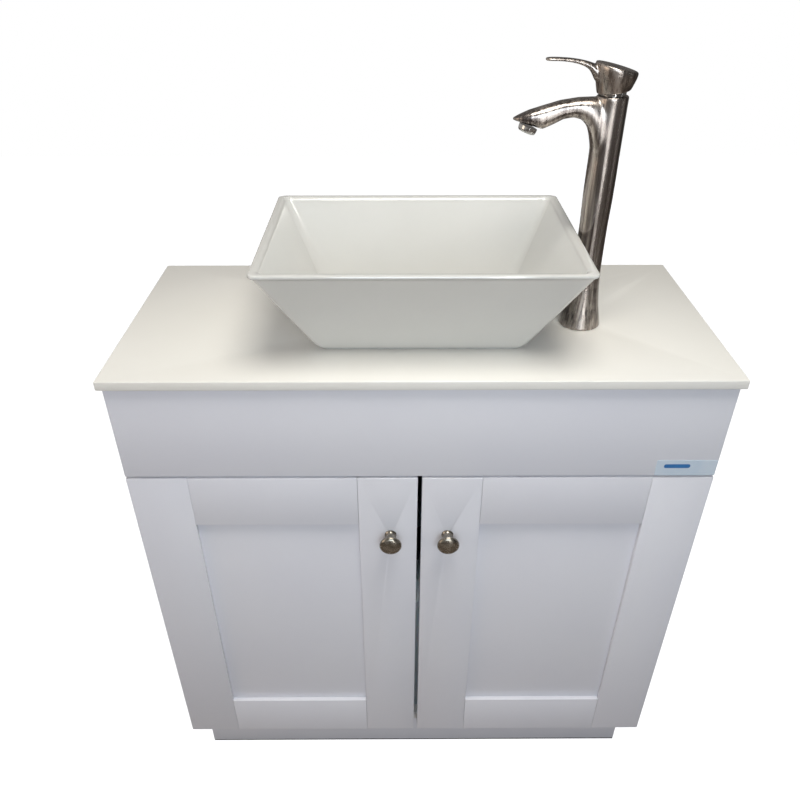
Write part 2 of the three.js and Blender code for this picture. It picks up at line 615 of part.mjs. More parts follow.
const TANK_FRONT = CARCASS_FRONT + SIDE_CLEARANCE;
const TANK_Y = TANK_FRONT + TANK_DEPTH / 2;
const WASTE_X = -SIDE_INNER + SIDE_CLEARANCE + WASTE_WIDTH / 2;
const HEATER_X = SIDE_INNER - SIDE_CLEARANCE - HEATER_WIDTH / 2;
const WASTE_EDGE = WASTE_X + WASTE_WIDTH / 2;
const HEATER_EDGE = HEATER_X - HEATER_WIDTH / 2;
const FRESH_X = (WASTE_EDGE + HEATER_EDGE) / 2;
const HEATER_Y = CARCASS_FRONT + SIDE_CLEARANCE + 30 + HEATER_DEPTH / 2;
const NECK_INSET = 44;
const WASTE_NECK_X = WASTE_EDGE - NECK_INSET;
const NECK_Y = TANK_FRONT + 90;

function makeTank(name, x, width, height, neckX, material) {
  const y = TANK_Y;
  const full = (inset, radius) => roundedOutline(width - 2 * inset, TANK_DEPTH - 2 * inset, radius, 3);
  const outer = lofted([full(5, 14), full(0, 20), full(0, 20), full(22, 14)],
    [0, 6, height - 26, height]);
  const wall = TANK_WALL;
  const inner = lofted([full(5 + wall, 12), full(wall, 17), full(wall, 17), full(22 + wall, 11)],
    [wall, 6 + wall, height - 26, height - wall]);
  const neck = rod(NECK_RADIUS, height - 8, height + NECK_HEIGHT, 32).translate(neckX - x, NECK_Y - y, 0);
  const mouth = rod(NECK_BORE, height - 30, height + NECK_HEIGHT + 1, 32)
    .translate(neckX - x, NECK_Y - y, 0);
  const shell = cut(joined(outer, neck), inner, mouth);
  place(name, shell, material, sink, [x, y, FLOOR_TOP + SEAT]);
}

function makeCap(name, x, top, bore, spigot) {
  const roof = CAP_HEIGHT - 3;
  const profile = [[NECK_RADIUS + RUNNING, 0], [CAP_RADIUS, 0], [CAP_RADIUS, CAP_HEIGHT - 2],
    [CAP_RADIUS - 2, CAP_HEIGHT], [bore + 3, CAP_HEIGHT], [bore + 3, CAP_HEIGHT + spigot],
    [bore, CAP_HEIGHT + spigot], [bore, roof], [NECK_RADIUS + RUNNING, roof],
    [NECK_RADIUS + RUNNING, 0]];
  const height = FLOOR_TOP + SEAT + top + NECK_HEIGHT + SEAT - roof;
  place(name, turned(profile, 32), blackPlastic, sink, [x, NECK_Y, height]);
  return height + CAP_HEIGHT + spigot;
}

function makeTanks() {
  makeTank("waste_tank", WASTE_X, WASTE_WIDTH, WASTE_HEIGHT, WASTE_NECK_X, greyTank);
  makeTank("fresh_tank", FRESH_X, FRESH_WIDTH, FRESH_HEIGHT, FRESH_X, tankPlastic);
  const wasteTop = makeCap("waste_cap", WASTE_NECK_X, WASTE_HEIGHT, DRAIN_BORE - RUNNING - 3, 20);
  const freshTop = makeCap("fresh_cap", FRESH_X, FRESH_HEIGHT, HOSE_RADIUS + RUNNING, 6);
  const drainEnd = COUNTER_TOP - TAILPIECE_DROP + 14;
  const fall = drainEnd - 14 - wasteTop;
  place("drain_hose", tubeAlong([[0, BASIN_Y, drainEnd], [0, BASIN_Y, drainEnd - 7],
    [0, BASIN_Y, drainEnd - 14], [0, BASIN_Y, drainEnd - 24],
    [WASTE_NECK_X * 0.18, BASIN_Y, wasteTop + fall * 0.72],
    [WASTE_NECK_X * 0.5, (BASIN_Y + NECK_Y) / 2, wasteTop + fall * 0.5],
    [WASTE_NECK_X * 0.82, NECK_Y, wasteTop + fall * 0.28],
    [WASTE_NECK_X, NECK_Y, wasteTop + 8], [WASTE_NECK_X, NECK_Y, wasteTop - 2],
    [WASTE_NECK_X, NECK_Y, wasteTop - 10], [WASTE_NECK_X, NECK_Y, wasteTop - 18]],
  DRAIN_BORE + DRAIN_HOSE_WALL, 24, DRAIN_BORE + 3 * RUNNING, 6), hosePlastic);
  return freshTop;
}

function makePump() {
  const pump = new THREE.Group();
  pump.position.set(PUMP_X, PUMP_Y, PUMP_Z);
  sink.add(pump);
  const half = HEAD_SIZE / 2;
  board("pump_head", [-half, -half, -half], [half, half, half], blackPlastic, pump);
  const wall = BACK_INNER - SEAT - PUMP_Y;
  const motor = rod(PUMP_RADIUS, half + SEAT, half + PUMP_LENGTH, 28).rotateY(Math.PI / 2);
  const bracket = block([half + 12, PUMP_RADIUS - 6, -half - 4],
    [half + PUMP_LENGTH - 12, wall, half + 4]);
  place("pump_motor", joined(motor, bracket), steel, pump);
  const strainer = turned([[0, half + SEAT], [9, half + SEAT], [9, half + 8], [15, half + 10],
    [15, half + 38], [9, half + 41], [9, half + 48], [0, half + 48]], 24).rotateY(-Math.PI / 2);
  place("inlet_strainer", strainer, hosePlastic, pump);
  const run = rod(8, half + SEAT, half + 44, 20);
  const branch = rod(8, 0, 26, 20).rotateX(Math.PI / 2).translate(0, 0, half + 24);
  place("outlet_tee", joined(run, branch), brass, pump);
}

function makeHeater() {
  const body = roundBlock(HEATER_WIDTH, HEATER_DEPTH, 0, HEATER_HEIGHT, 22, 6);
  const stub = (x) => rod(9, HEATER_HEIGHT - 1, HEATER_HEIGHT + 16, 20).translate(x, 0, 0);
  const knobZ = HEATER_HEIGHT * 0.65;
  const front = -HEATER_DEPTH / 2;
  const hole = rod(3.4, -1, 14, 20).rotateX(-Math.PI / 2).translate(0, front, knobZ);
  const shell = cut(joined(body, stub(-35), stub(35)), hole);
  const group = new THREE.Group();
  group.position.set(HEATER_X, HEATER_Y, FLOOR_TOP + SEAT);
  sink.add(group);
  place("water_heater", shell, whitePlastic, group);
  const dial = turned([[0, -12], [3, -12], [3, 1], [17, 1], [17, 5], [15, 16], [13.5, 17.5],
    [0, 17.5]], 28).rotateX(Math.PI / 2);
  const grip = block([-2.2, -20.5, -14], [2.2, -17, 14]);
  place("thermostat_knob", joined(dial, grip), blackPlastic, group, [0, front, knobZ]);
}

function makeHoses(freshTop) {
  const half = HEAD_SIZE / 2;
  const heaterTop = FLOOR_TOP + SEAT + HEATER_HEIGHT + 16 + SEAT;
  const strainerX = PUMP_X - half - 48 - SEAT;
  place("suction_hose", tubeAlong([[FRESH_X, NECK_Y, FLOOR_TOP + 24],
    [FRESH_X, NECK_Y, FLOOR_TOP + 150], [FRESH_X, NECK_Y, freshTop],
    [FRESH_X, NECK_Y, freshTop + 12], [FRESH_X, NECK_Y + 4, freshTop + 40],
    [FRESH_X + 14, NECK_Y + 40, PUMP_Z - 24],
    [FRESH_X + 30, PUMP_Y - 20, PUMP_Z - 2], [strainerX - 14, PUMP_Y, PUMP_Z],
    [strainerX, PUMP_Y, PUMP_Z]],
  HOSE_RADIUS, 28, 0, 4), hosePlastic);
  const teeTop = PUMP_Z + half + 44 + SEAT;
  const shankEnd = COUNTER_TOP - SHANK_LENGTH - SEAT;
  place("cold_supply_hose", tubeAlong([[PUMP_X, PUMP_Y, teeTop], [PUMP_X, PUMP_Y, teeTop + 16],
    [PUMP_X + 6, PUMP_Y - 30, teeTop + 36], [TAP_X - 12, (PUMP_Y + TAP_Y) / 2, teeTop + 34],
    [TAP_X - 6, TAP_Y + 16, shankEnd - 44], [TAP_X - 4.5, TAP_Y, shankEnd - 22],
    [TAP_X - 4.5, TAP_Y, shankEnd]],
  4.2, 18, 0, 4), steel);
  const branchY = PUMP_Y - 26 - SEAT;
  const heaterPort = HEATER_X - 35;
  place("heater_feed_hose", tubeAlong([[PUMP_X, branchY, PUMP_Z + half + 24],
    [PUMP_X, branchY - 8, PUMP_Z + half + 24], [PUMP_X, branchY - 18, PUMP_Z + half + 20],
    [(PUMP_X + heaterPort) / 2, (branchY + HEATER_Y) / 2, PUMP_Z - 10],
    [heaterPort, HEATER_Y, heaterTop + 40], [heaterPort, HEATER_Y, heaterTop]],
  HOSE_RADIUS, 16, 0, 4), steel);
  const hotPort = HEATER_X + 35;
  place("hot_supply_hose", tubeAlong([[hotPort, HEATER_Y, heaterTop],
    [hotPort, HEATER_Y, heaterTop + 60], [hotPort - 6, HEATER_Y - 10, PUMP_Z - 20],
    [(hotPort + TAP_X) / 2 + 8, TAP_Y - 10, PUMP_Z + 50], [TAP_X + 5.5, TAP_Y - 4, shankEnd - 50],
    [TAP_X + 4.5, TAP_Y, shankEnd - 20], [TAP_X + 4.5, TAP_Y, shankEnd]],
  4.2, 22, 0, 4), steel);
}

makePlinth();
makeCarcass();
makeBackPanel();
makePowerInlet();
makeRockerSwitch();
makeCounter();
makeDoors();
makeBasin();
makeDrain();
makeTapBody();
makeTapFittings();
makeTapLever();
const freshTop = makeTanks();
makePump();
makeHeater();
makeHoses(freshTop);

export default sink;
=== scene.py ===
"""A portable handwash sink: painted cabinet, slab counter, vessel basin and a tall lever tap.

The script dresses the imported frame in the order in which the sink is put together. Metres, +Z up.
"""

import math

import bmesh
import bpy
from mathutils import Matrix, Vector


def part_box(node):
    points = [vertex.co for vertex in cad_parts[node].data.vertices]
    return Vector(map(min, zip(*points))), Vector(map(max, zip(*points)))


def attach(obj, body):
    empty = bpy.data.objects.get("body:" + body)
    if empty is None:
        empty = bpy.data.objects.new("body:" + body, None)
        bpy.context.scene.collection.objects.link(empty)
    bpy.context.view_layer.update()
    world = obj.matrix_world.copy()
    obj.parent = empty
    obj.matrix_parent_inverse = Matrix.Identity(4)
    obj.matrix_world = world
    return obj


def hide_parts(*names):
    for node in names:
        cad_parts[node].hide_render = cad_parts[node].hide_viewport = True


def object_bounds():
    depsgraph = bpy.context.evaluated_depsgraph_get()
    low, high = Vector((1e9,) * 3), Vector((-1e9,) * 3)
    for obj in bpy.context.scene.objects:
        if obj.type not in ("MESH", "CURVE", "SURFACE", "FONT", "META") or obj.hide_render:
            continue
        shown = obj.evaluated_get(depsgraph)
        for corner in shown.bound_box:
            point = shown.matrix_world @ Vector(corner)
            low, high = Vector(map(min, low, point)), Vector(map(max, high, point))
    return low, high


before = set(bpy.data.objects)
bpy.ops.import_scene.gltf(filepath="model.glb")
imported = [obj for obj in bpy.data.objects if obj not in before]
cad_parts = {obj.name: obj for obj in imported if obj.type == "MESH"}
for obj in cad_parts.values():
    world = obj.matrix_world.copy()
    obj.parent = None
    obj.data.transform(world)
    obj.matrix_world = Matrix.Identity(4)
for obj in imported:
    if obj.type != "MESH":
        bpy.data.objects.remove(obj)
cad_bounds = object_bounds()

# ---- Camera, lamps and floor -------------------------------------------------------------------
# A camera stands in front of the counter, above head height, and looks down into the basin.
# Three soft panels light the sink in a plain white studio, and two lit strips give the metal its
# bright lines.

counter_low, counter_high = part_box("countertop")

CAMERA_FROM_COUNTER = Vector((-0.0299, -0.7644, 0.4503))
CAMERA_PITCH = math.radians(35.7)
CAMERA_YAW = math.radians(0.28)
CAMERA_LENS = 33.8
CAMERA_SHIFT_UP = 0.0625

camera_data = bpy.data.cameras.new("camera")
camera_data.lens = CAMERA_LENS
camera_data.shift_y = CAMERA_SHIFT_UP
camera = bpy.data.objects.new("camera", camera_data)
camera.location = Vector((0, counter_low.y, counter_high.z)) + CAMERA_FROM_COUNTER
camera.rotation_euler = (math.pi / 2 - CAMERA_PITCH, 0, -CAMERA_YAW)
bpy.context.scene.collection.objects.link(camera)
bpy.context.scene.camera = camera
bpy.context.scene.view_settings.view_transform = "Standard"


def soft_panel(name, position, target, size, watts, color):
    """A square softbox at a position, aimed at a target."""
    lamp = bpy.data.lights.new(name, "AREA")
    lamp.shape = "RECTANGLE"
    lamp.size, lamp.size_y = size
    lamp.energy = watts
    lamp.color = color
    panel = bpy.data.objects.new(name, lamp)
    panel.location = position
    panel.rotation_euler = (Vector(target) - Vector(position)).to_track_quat("-Z", "Y").to_euler()
    bpy.context.scene.collection.objects.link(panel)


SINK_MIDDLE = (0, 0, 0.75)
soft_panel("key_panel", (0.15, -0.5, 2.4), SINK_MIDDLE, (0.9, 0.9), 22, (1.0, 0.97, 0.90))
soft_panel("sky_panel", (0.1, -1.9, 1.45), (0, 0, 0.42), (0.9, 0.9), 14, (0.80, 0.90, 1.0))
soft_panel("warm_panel", (-1.9, -0.8, 1.1), (-0.2, 0, 0.8), (1.0, 1.0), 5, (1.0, 0.80, 0.62))


SKY_STRENGTH = 0.28
ROOM_BRIGHT_END = (-0.8, 0.46)
ROOM_DIM_END = (0.4, 0.1)


def make_world():
    """White where it is seen directly, a dim room for reflections and a soft sky for shading."""
    world = bpy.data.worlds.new("studio")
    world.use_nodes = True
    nodes = world.node_tree.nodes
    links = world.node_tree.links
    sky = nodes["Background"]
    sky.inputs["Color"].default_value = (0.93, 0.95, 1.0, 1)
    sky.inputs["Strength"].default_value = SKY_STRENGTH
    path = nodes.new("ShaderNodeLightPath")
    direction = nodes.new("ShaderNodeTexCoord")
    split = nodes.new("ShaderNodeSeparateXYZ")
    links.new(direction.outputs["Generated"], split.inputs["Vector"])
    falloff = nodes.new("ShaderNodeMapRange")
    falloff.inputs["From Min"].default_value = ROOM_BRIGHT_END[0]
    falloff.inputs["From Max"].default_value = ROOM_DIM_END[0]
    falloff.inputs["To Min"].default_value = ROOM_BRIGHT_END[1]
    falloff.inputs["To Max"].default_value = ROOM_DIM_END[1]
    links.new(split.outputs["X"], falloff.inputs["Value"])
    room = nodes.new("ShaderNodeBackground")
    room.inputs["Color"].default_value = (1.0, 0.95, 0.9, 1)
    links.new(falloff.outputs["Result"], room.inputs["Strength"])
    reflected = nodes.new("ShaderNodeMixShader")
    links.new(path.outputs["Is Glossy Ray"], reflected.inputs[0])
    links.new(sky.outputs[0], reflected.inputs[1])
    links.new(room.outputs[0], reflected.inputs[2])
    seen = nodes.new("ShaderNodeMath")
    seen.operation = "ADD"
    seen.use_clamp = True
    links.new(path.outputs["Is Camera Ray"], seen.inputs[0])
    links.new(path.outputs["Is Transmission Ray"], seen.inputs[1])
    white = nodes.new("ShaderNodeBackground")
    white.inputs["Color"].default_value = (1, 1, 1, 1)
    mix = nodes.new("ShaderNodeMixShader")
    links.new(seen.outputs[0], mix.inputs[0])
    links.new(reflected.outputs[0], mix.inputs[1])
    links.new(white.outputs[0], mix.inputs[2])
    links.new(mix.outputs[0], nodes["World Output"].inputs["Surface"])
    return world


bpy.context.scene.world = make_world()

FLOOR_HALF = 4.0
FLOOR_SEEN = (0.93, 0.93, 0.93, 1)
FLOOR_BOUNCE = (0.30, 0.25, 0.21, 1)
FLOOR_GLOW = 0.8
FLOOR_DROP = 0.0005


def make_floor():
    """A white floor that keeps the sink's shadow, and that throws warm light back up."""
    mesh = bpy.data.meshes.new("studio_floor")
    mesh.from_pydata([(-FLOOR_HALF, -FLOOR_HALF, 0), (FLOOR_HALF, -FLOOR_HALF, 0),
                      (FLOOR_HALF, FLOOR_HALF, 0), (-FLOOR_HALF, FLOOR_HALF, 0)],
                     [], [(0, 1, 2, 3)])
    material = bpy.data.materials.new("studio_floor")
    material.use_nodes = True
    nodes = material.node_tree.nodes
    links = material.node_tree.links
    shader = nodes["Principled BSDF"]
    shader.inputs["Roughness"].default_value = 0.9
    shader.inputs["Specular IOR Level"].default_value = 0.1
    shader.inputs["Emission Color"].default_value = (1, 1, 1, 1)
    path = nodes.new("ShaderNodeLightPath")
    mix = nodes.new("ShaderNodeMix")
    mix.data_type = "RGBA"
    mix.inputs["A"].default_value = FLOOR_BOUNCE
    mix.inputs["B"].default_value = FLOOR_SEEN
    links.new(path.outputs["Is Camera Ray"], mix.inputs["Factor"])
    links.new(mix.outputs["Result"], shader.inputs["Base Color"])
    glow = nodes.new("ShaderNodeMath")
    glow.operation = "MULTIPLY"
    glow.inputs[1].default_value = FLOOR_GLOW
    links.new(path.outputs["Is Camera Ray"], glow.inputs[0])
    links.new(glow.outputs[0], shader.inputs["Emission Strength"])
    mesh.materials.append(material)
    piece = bpy.data.objects.new("studio_floor", mesh)
    piece.location.z = cad_bounds[0][2] - FLOOR_DROP
    bpy.context.scene.collection.objects.link(piece)
    return piece


make_floor()


def glow_card(name, centre, size, strength):
    """An upright lit strip facing the sink, which only polished pieces reflect."""
    half_width, half_height = size[0] / 2, size[1] / 2
    mesh = bpy.data.meshes.new(name)
    mesh.from_pydata([(-half_width, 0, -half_height), (half_width, 0, -half_height),
                      (half_width, 0, half_height), (-half_width, 0, half_height)],
                     [], [(0, 1, 2, 3)])
    material = bpy.data.materials.new(name)
    material.use_nodes = True
    shader = material.node_tree.nodes["Principled BSDF"]
    shader.inputs["Base Color"].default_value = (0, 0, 0, 1)
    shader.inputs["Emission Color"].default_value = (1, 1, 1, 1)
    shader.inputs["Emission Strength"].default_value = strength
    mesh.materials.append(material)
    card = bpy.data.objects.new(name, mesh)
    card.location = centre
    bpy.context.scene.collection.objects.link(card)
    card.visible_camera = False
    card.visible_diffuse = False
    card.visible_shadow = False


glow_card("narrow_window", (0.46, -2.0, 1.1), (0.14, 1.6), 7.0)
glow_card("side_window", (1.9, -0.6, 1.1), (0.10, 1.5), 2.5)

# ---- Countertop --------------------------------------------------------------------------------
# One slab of off-white solid surface, 12 mm thick, sanded to a fine matt polish. Its edges are
# just broken with a sanding block, and it is bedded on the cabinet's top edges.


WELD = 1e-5
SHARP_EDGE = math.radians(35)


def float_sockets(group, kind, names):
    for name, socket_type, value in names:
        socket = group.interface.new_socket(name=name, in_out=kind, socket_type=socket_type)
        if value is not None:
            socket.default_value = value


def make_surface_group():
    """Mottled colour, uneven gloss and a fine grain height, in the piece's own space."""
    group = bpy.data.node_groups.new("mottled_surface", "ShaderNodeTree")
    float_sockets(group, "INPUT", [
        ("Main Colour", "NodeSocketColor", (0.8, 0.8, 0.8, 1)),
        ("Second Colour", "NodeSocketColor", (0.7, 0.7, 0.7, 1)),
        ("Mottle Scale", "NodeSocketFloat", 8.0),
        ("Grain Scale", "NodeSocketFloat", 900.0),
        ("Least Roughness", "NodeSocketFloat", 0.3),
        ("Most Roughness", "NodeSocketFloat", 0.5)])
    float_sockets(group, "OUTPUT", [
        ("Colour", "NodeSocketColor", None),
        ("Roughness", "NodeSocketFloat", None),
        ("Height", "NodeSocketFloat", None)])
    nodes = group.nodes
    links = group.links
    given = nodes.new("NodeGroupInput")
    result = nodes.new("NodeGroupOutput")
    place = nodes.new("ShaderNodeTexCoord")
    mottle = nodes.new("ShaderNodeTexNoise")
    mottle.inputs["Detail"].default_value = 4
    links.new(place.outputs["Object"], mottle.inputs["Vector"])
    links.new(given.outputs["Mottle Scale"], mottle.inputs["Scale"])
    grain = nodes.new("ShaderNodeTexNoise")
    grain.inputs["Detail"].default_value = 2
    links.new(place.outputs["Object"], grain.inputs["Vector"])
    links.new(given.outputs["Grain Scale"], grain.inputs["Scale"])
    spread = nodes.new("ShaderNodeMapRange")
    spread.inputs["From Min"].default_value = 0.35
    spread.inputs["From Max"].default_value = 0.65
    links.new(mottle.outputs["Fac"], spread.inputs["Value"])
    mix = nodes.new("ShaderNodeMix")
    mix.data_type = "RGBA"
    links.new(spread.outputs["Result"], mix.inputs["Factor"])
    links.new(given.outputs["Main Colour"], mix.inputs["A"])
    links.new(given.outputs["Second Colour"], mix.inputs["B"])
    gloss = nodes.new("ShaderNodeMapRange")
    links.new(mottle.outputs["Fac"], gloss.inputs["Value"])
    links.new(given.outputs["Least Roughness"], gloss.inputs["To Min"])
    links.new(given.outputs["Most Roughness"], gloss.inputs["To Max"])
    links.new(mix.outputs["Result"], result.inputs["Colour"])
    links.new(gloss.outputs["Result"], result.inputs["Roughness"])
    links.new(grain.outputs["Fac"], result.inputs["Height"])
    return group


surface_group = make_surface_group()


def mottled(name, main, second, mottle, grain, rough, bump, **constants):
    """A material of one mottled colour. The extra names are the shader's constant sockets."""
    material = bpy.data.materials.new(name)
    material.use_nodes = True
    nodes = material.node_tree.nodes
    links = material.node_tree.links
    shader = nodes["Principled BSDF"]
    surface = nodes.new("ShaderNodeGroup")
    surface.node_tree = surface_group
    surface.inputs["Main Colour"].default_value = (*main, 1)
    surface.inputs["Second Colour"].default_value = (*second, 1)
    surface.inputs["Mottle Scale"].default_value = mottle
    surface.inputs["Grain Scale"].default_value = grain
    surface.inputs["Least Roughness"].default_value = rough[0]
    surface.inputs["Most Roughness"].default_value = rough[1]
    bump_node = nodes.new("ShaderNodeBump")
    bump_node.inputs["Strength"].default_value = bump
    bump_node.inputs["Distance"].default_value = 0.0002
    links.new(surface.outputs["Height"], bump_node.inputs["Height"])
    links.new(surface.outputs["Colour"], shader.inputs["Base Color"])
    links.new(surface.outputs["Roughness"], shader.inputs["Roughness"])
    links.new(bump_node.outputs["Normal"], shader.inputs["Normal"])
    for socket, value in constants.items():
        shader.inputs[socket.replace("_", " ")].default_value = value
    return material


def finish_piece(piece, material, body, slot, *stands_for):
    """Gives a piece its material and its place in the frame."""
    piece.data.materials.clear()
    piece.data.materials.append(material)
    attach(piece, body)
    if stands_for:
        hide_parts(*stands_for)
    return piece


def new_piece(name, mesh_builder):
    """An object from a bmesh, smooth-shaded up to 35 degrees."""
    mesh = bpy.data.meshes.new(name)
    bmesh.ops.recalc_face_normals(mesh_builder, faces=mesh_builder.faces)
    mesh_builder.to_mesh(mesh)
    mesh_builder.free()
    mesh.set_sharp_from_angle(angle=SHARP_EDGE)
    piece = bpy.data.objects.new(name, mesh)
    bpy.context.scene.collection.objects.link(piece)
    return piece


def apply_modifiers(piece):
    bpy.context.view_layer.update()
    evaluated = piece.evaluated_get(bpy.context.evaluated_depsgraph_get())
    mesh = bpy.data.meshes.new_from_object(evaluated)
    piece.modifiers.clear()
    old = piece.data
    piece.data = mesh
    bpy.data.meshes.remove(old)
    return piece


def eased_copy(node, radius, segments=3):
    """The node's shape with its edges rounded to a radius, as a new piece."""
    builder = bmesh.new()
    builder.from_mesh(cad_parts[node].data)
    bmesh.ops.remove_doubles(builder, verts=builder.verts, dist=WELD)
    bmesh.ops.dissolve_limit(builder, angle_limit=math.radians(2), verts=builder.verts,
                             edges=builder.edges)
    piece = new_piece(node + "_eased", builder)
    bevel = piece.modifiers.new("ease", "BEVEL")
    bevel.width = radius
    bevel.segments = segments
    bevel.limit_method = "ANGLE"
    bevel.angle_limit = math.radians(40)
    bevel.harden_normals = False
    apply_modifiers(piece)
    piece.data.set_sharp_from_angle(angle=SHARP_EDGE)
    return piece


SLAB_EASE = 0.0012
slab_material = mottled("solid_surface", (0.86, 0.84, 0.79), (0.83, 0.81, 0.755), 5.0, 1400.0,
                        (0.34, 0.46), 0.04)
finish_piece(eased_copy("countertop", SLAB_EASE), slab_material, "cabinet", "solid_surface",
             "countertop")

# ---- Cabinet boards ----------------------------------------------------------------------------
# Sprayed board panels, dowelled and glued into a box on a recessed plinth, with white melamine
# inside. The spray leaves a faint orange-peel, and the corners are lightly sanded.

PAINT_EASE = 0.0009
paint_material = mottled("white_paint", (0.80, 0.80, 0.84), (0.775, 0.775, 0.825), 4.0, 420.0,
                         (0.3, 0.44), 0.12)
board_material = mottled("melamine", (0.74, 0.73, 0.71), (0.70, 0.69, 0.67), 9.0, 1100.0,
                         (0.4, 0.6), 0.08)
for node in ("left_side_panel", "right_side_panel", "false_front", "toe_kick", "plinth_frame"):
    finish_piece(eased_copy(node, PAINT_EASE), paint_material, "cabinet", "white_paint", node)
for node in ("cabinet_floor", "front_rail", "rear_rail", "back_panel"):
    finish_piece(eased_copy(node, PAINT_EASE / 2, 2), board_material, "cabinet",
                 "carcass_board", node)

# ---- Doors -------------------------------------------------------------------------------------
# Two five-piece frame-and-panel doors. The rails are glued between the stiles, which leaves a
# hairline at each joint, and a thin flat panel floats in the frame's groove.

DOOR_EASE = 0.0006
for side in ("left", "right"):
    for part in ("hinge_stile", "lock_stile", "top_rail", "bottom_rail", "panel"):
        node = f"{side}_door_{part}"
        finish_piece(eased_copy(node, DOOR_EASE), paint_material, f"{side}_door",
                     "white_paint", node)

# ---- Blank name plate --------------------------------------------------------------------------
# A thin printed film in the lower right corner of the false front. It carries no name: only a
# plain blue band on a pale ground.

PLATE_WIDTH = 0.078
PLATE_HEIGHT = 0.024
PLATE_THICK = 0.0004
BAND_WIDTH = 0.034
BAND_HEIGHT = 0.006


def flat_plate(name, centre, width, height, thick, corner):
    """An upright plate with round corners, facing -Y."""
    builder = bmesh.new()
    outline = []
    for quarter in range(4):
        sx = 1 if quarter in (0, 3) else -1
        sz = 1 if quarter in (0, 1) else -1
        for step in range(5):
            angle = math.radians(90 * quarter + 22.5 * step)
            outline.append(Vector((sx * (width / 2 - corner) + corner * math.cos(angle), 0,
                                   sz * (height / 2 - corner) + corner * math.sin(angle))))
    front = [builder.verts.new(centre + point) for point in outline]
    back = [builder.verts.new(centre + point + Vector((0, thick, 0))) for point in outline]
    builder.faces.new(front)
    builder.faces.new(list(reversed(back)))
    for i in range(len(outline)):
        j = (i + 1) % len(outline)
        builder.faces.new((front[i], back[i], back[j], front[j]))
    return new_piece(name, builder)


front_low, front_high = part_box("false_front")
plate_centre = Vector((front_high.x - 0.001 - PLATE_WIDTH / 2, front_low.y - PLATE_THICK,
                       front_low.z + 0.0005 + PLATE_HEIGHT / 2))
film_material = mottled("label_film", (0.60, 0.70, 0.80), (0.66, 0.74, 0.82), 40.0, 900.0,
                        (0.2, 0.3), 0.02)
ink_material = mottled("blue_ink", (0.03, 0.16, 0.42), (0.04, 0.19, 0.46), 90.0, 1500.0,
                       (0.3, 0.4), 0.02)
finish_piece(flat_plate("blank_plate", plate_centre, PLATE_WIDTH, PLATE_HEIGHT, PLATE_THICK,
                        0.0015), film_material, "cabinet", "white_plastic")
band_centre = plate_centre + Vector((-0.012, -0.0001, 0.003))
finish_piece(flat_plate("blank_plate_band", band_centre, BAND_WIDTH, BAND_HEIGHT, 0.0001,
                        0.0028), ink_material, "cabinet", "white_plastic")

# ---- Hinges and fasteners ----------------------------------------------------------------------
# Stamped steel pivot leaves, zinc plated, which carry the doors on pins. Two pan-head screws hold
# each upper leaf to its side panel.


def make_brushed_and_sheen_group():
    """Long fine scratches and broader bands: noise that is stretched along one direction of the
    piece. Where the bands are long and strong, as on the tap, they are painted reflection: light
    and dark streaks that stand for the room mirrored in the metal.
    """
    group = bpy.data.node_groups.new("brushed_lines_and_sheen", "ShaderNodeTree")
    float_sockets(group, "INPUT", [
        ("Light Colour", "NodeSocketColor", (0.6, 0.6, 0.6, 1)),
        ("Dark Colour", "NodeSocketColor", (0.4, 0.4, 0.4, 1)),
        ("Stretch", "NodeSocketVector", (1.0, 1.0, 0.05)),
        ("Scale", "NodeSocketFloat", 900.0),
        ("Least Roughness", "NodeSocketFloat", 0.2),
        ("Most Roughness", "NodeSocketFloat", 0.4)])
    float_sockets(group, "OUTPUT", [
        ("Colour", "NodeSocketColor", None),
        ("Roughness", "NodeSocketFloat", None),
        ("Height", "NodeSocketFloat", None)])
    nodes = group.nodes
    links = group.links
    given = nodes.new("NodeGroupInput")
    result = nodes.new("NodeGroupOutput")
    place = nodes.new("ShaderNodeTexCoord")
    stretch = nodes.new("ShaderNodeVectorMath")
    stretch.operation = "MULTIPLY"
    links.new(place.outputs["Object"], stretch.inputs[0])
    links.new(given.outputs["Stretch"], stretch.inputs[1])
    fine = nodes.new("ShaderNodeTexNoise")
    fine.inputs["Detail"].default_value = 3
    links.new(stretch.outputs["Vector"], fine.inputs["Vector"])
    links.new(given.outputs["Scale"], fine.inputs["Scale"])
    broad_scale = nodes.new("ShaderNodeMath")
    broad_scale.operation = "MULTIPLY"
    broad_scale.inputs[1].default_value = 0.16
    links.new(given.outputs["Scale"], broad_scale.inputs[0])
    broad = nodes.new("ShaderNodeTexNoise")
    broad.inputs["Detail"].default_value = 2
    links.new(stretch.outputs["Vector"], broad.inputs["Vector"])
    links.new(broad_scale.outputs["Value"], broad.inputs["Scale"])
    blend = nodes.new("ShaderNodeMix")
    blend.inputs["Factor"].default_value = 0.5
    links.new(fine.outputs["Fac"], blend.inputs["A"])
    links.new(broad.outputs["Fac"], blend.inputs["B"])
    spread = nodes.new("ShaderNodeMapRange")
    spread.inputs["From Min"].default_value = 0.4
    spread.inputs["From Max"].default_value = 0.6
    links.new(blend.outputs["Result"], spread.inputs["Value"])
    mix = nodes.new("ShaderNodeMix")
    mix.data_type = "RGBA"
    links.new(spread.outputs["Result"], mix.inputs["Factor"])
    links.new(given.outputs["Dark Colour"], mix.inputs["A"])
    links.new(given.outputs["Light Colour"], mix.inputs["B"])
    gloss = nodes.new("ShaderNodeMapRange")
    links.new(spread.outputs["Result"], gloss.inputs["Value"])
    links.new(given.outputs["Least Roughness"], gloss.inputs["To Min"])
    links.new(given.outputs["Most Roughness"], gloss.inputs["To Max"])
    links.new(mix.outputs["Result"], result.inputs["Colour"])
    links.new(gloss.outputs["Result"], result.inputs["Roughness"])
    links.new(fine.outputs["Fac"], result.inputs["Height"])
    return group


brushed_and_sheen_group = make_brushed_and_sheen_group()


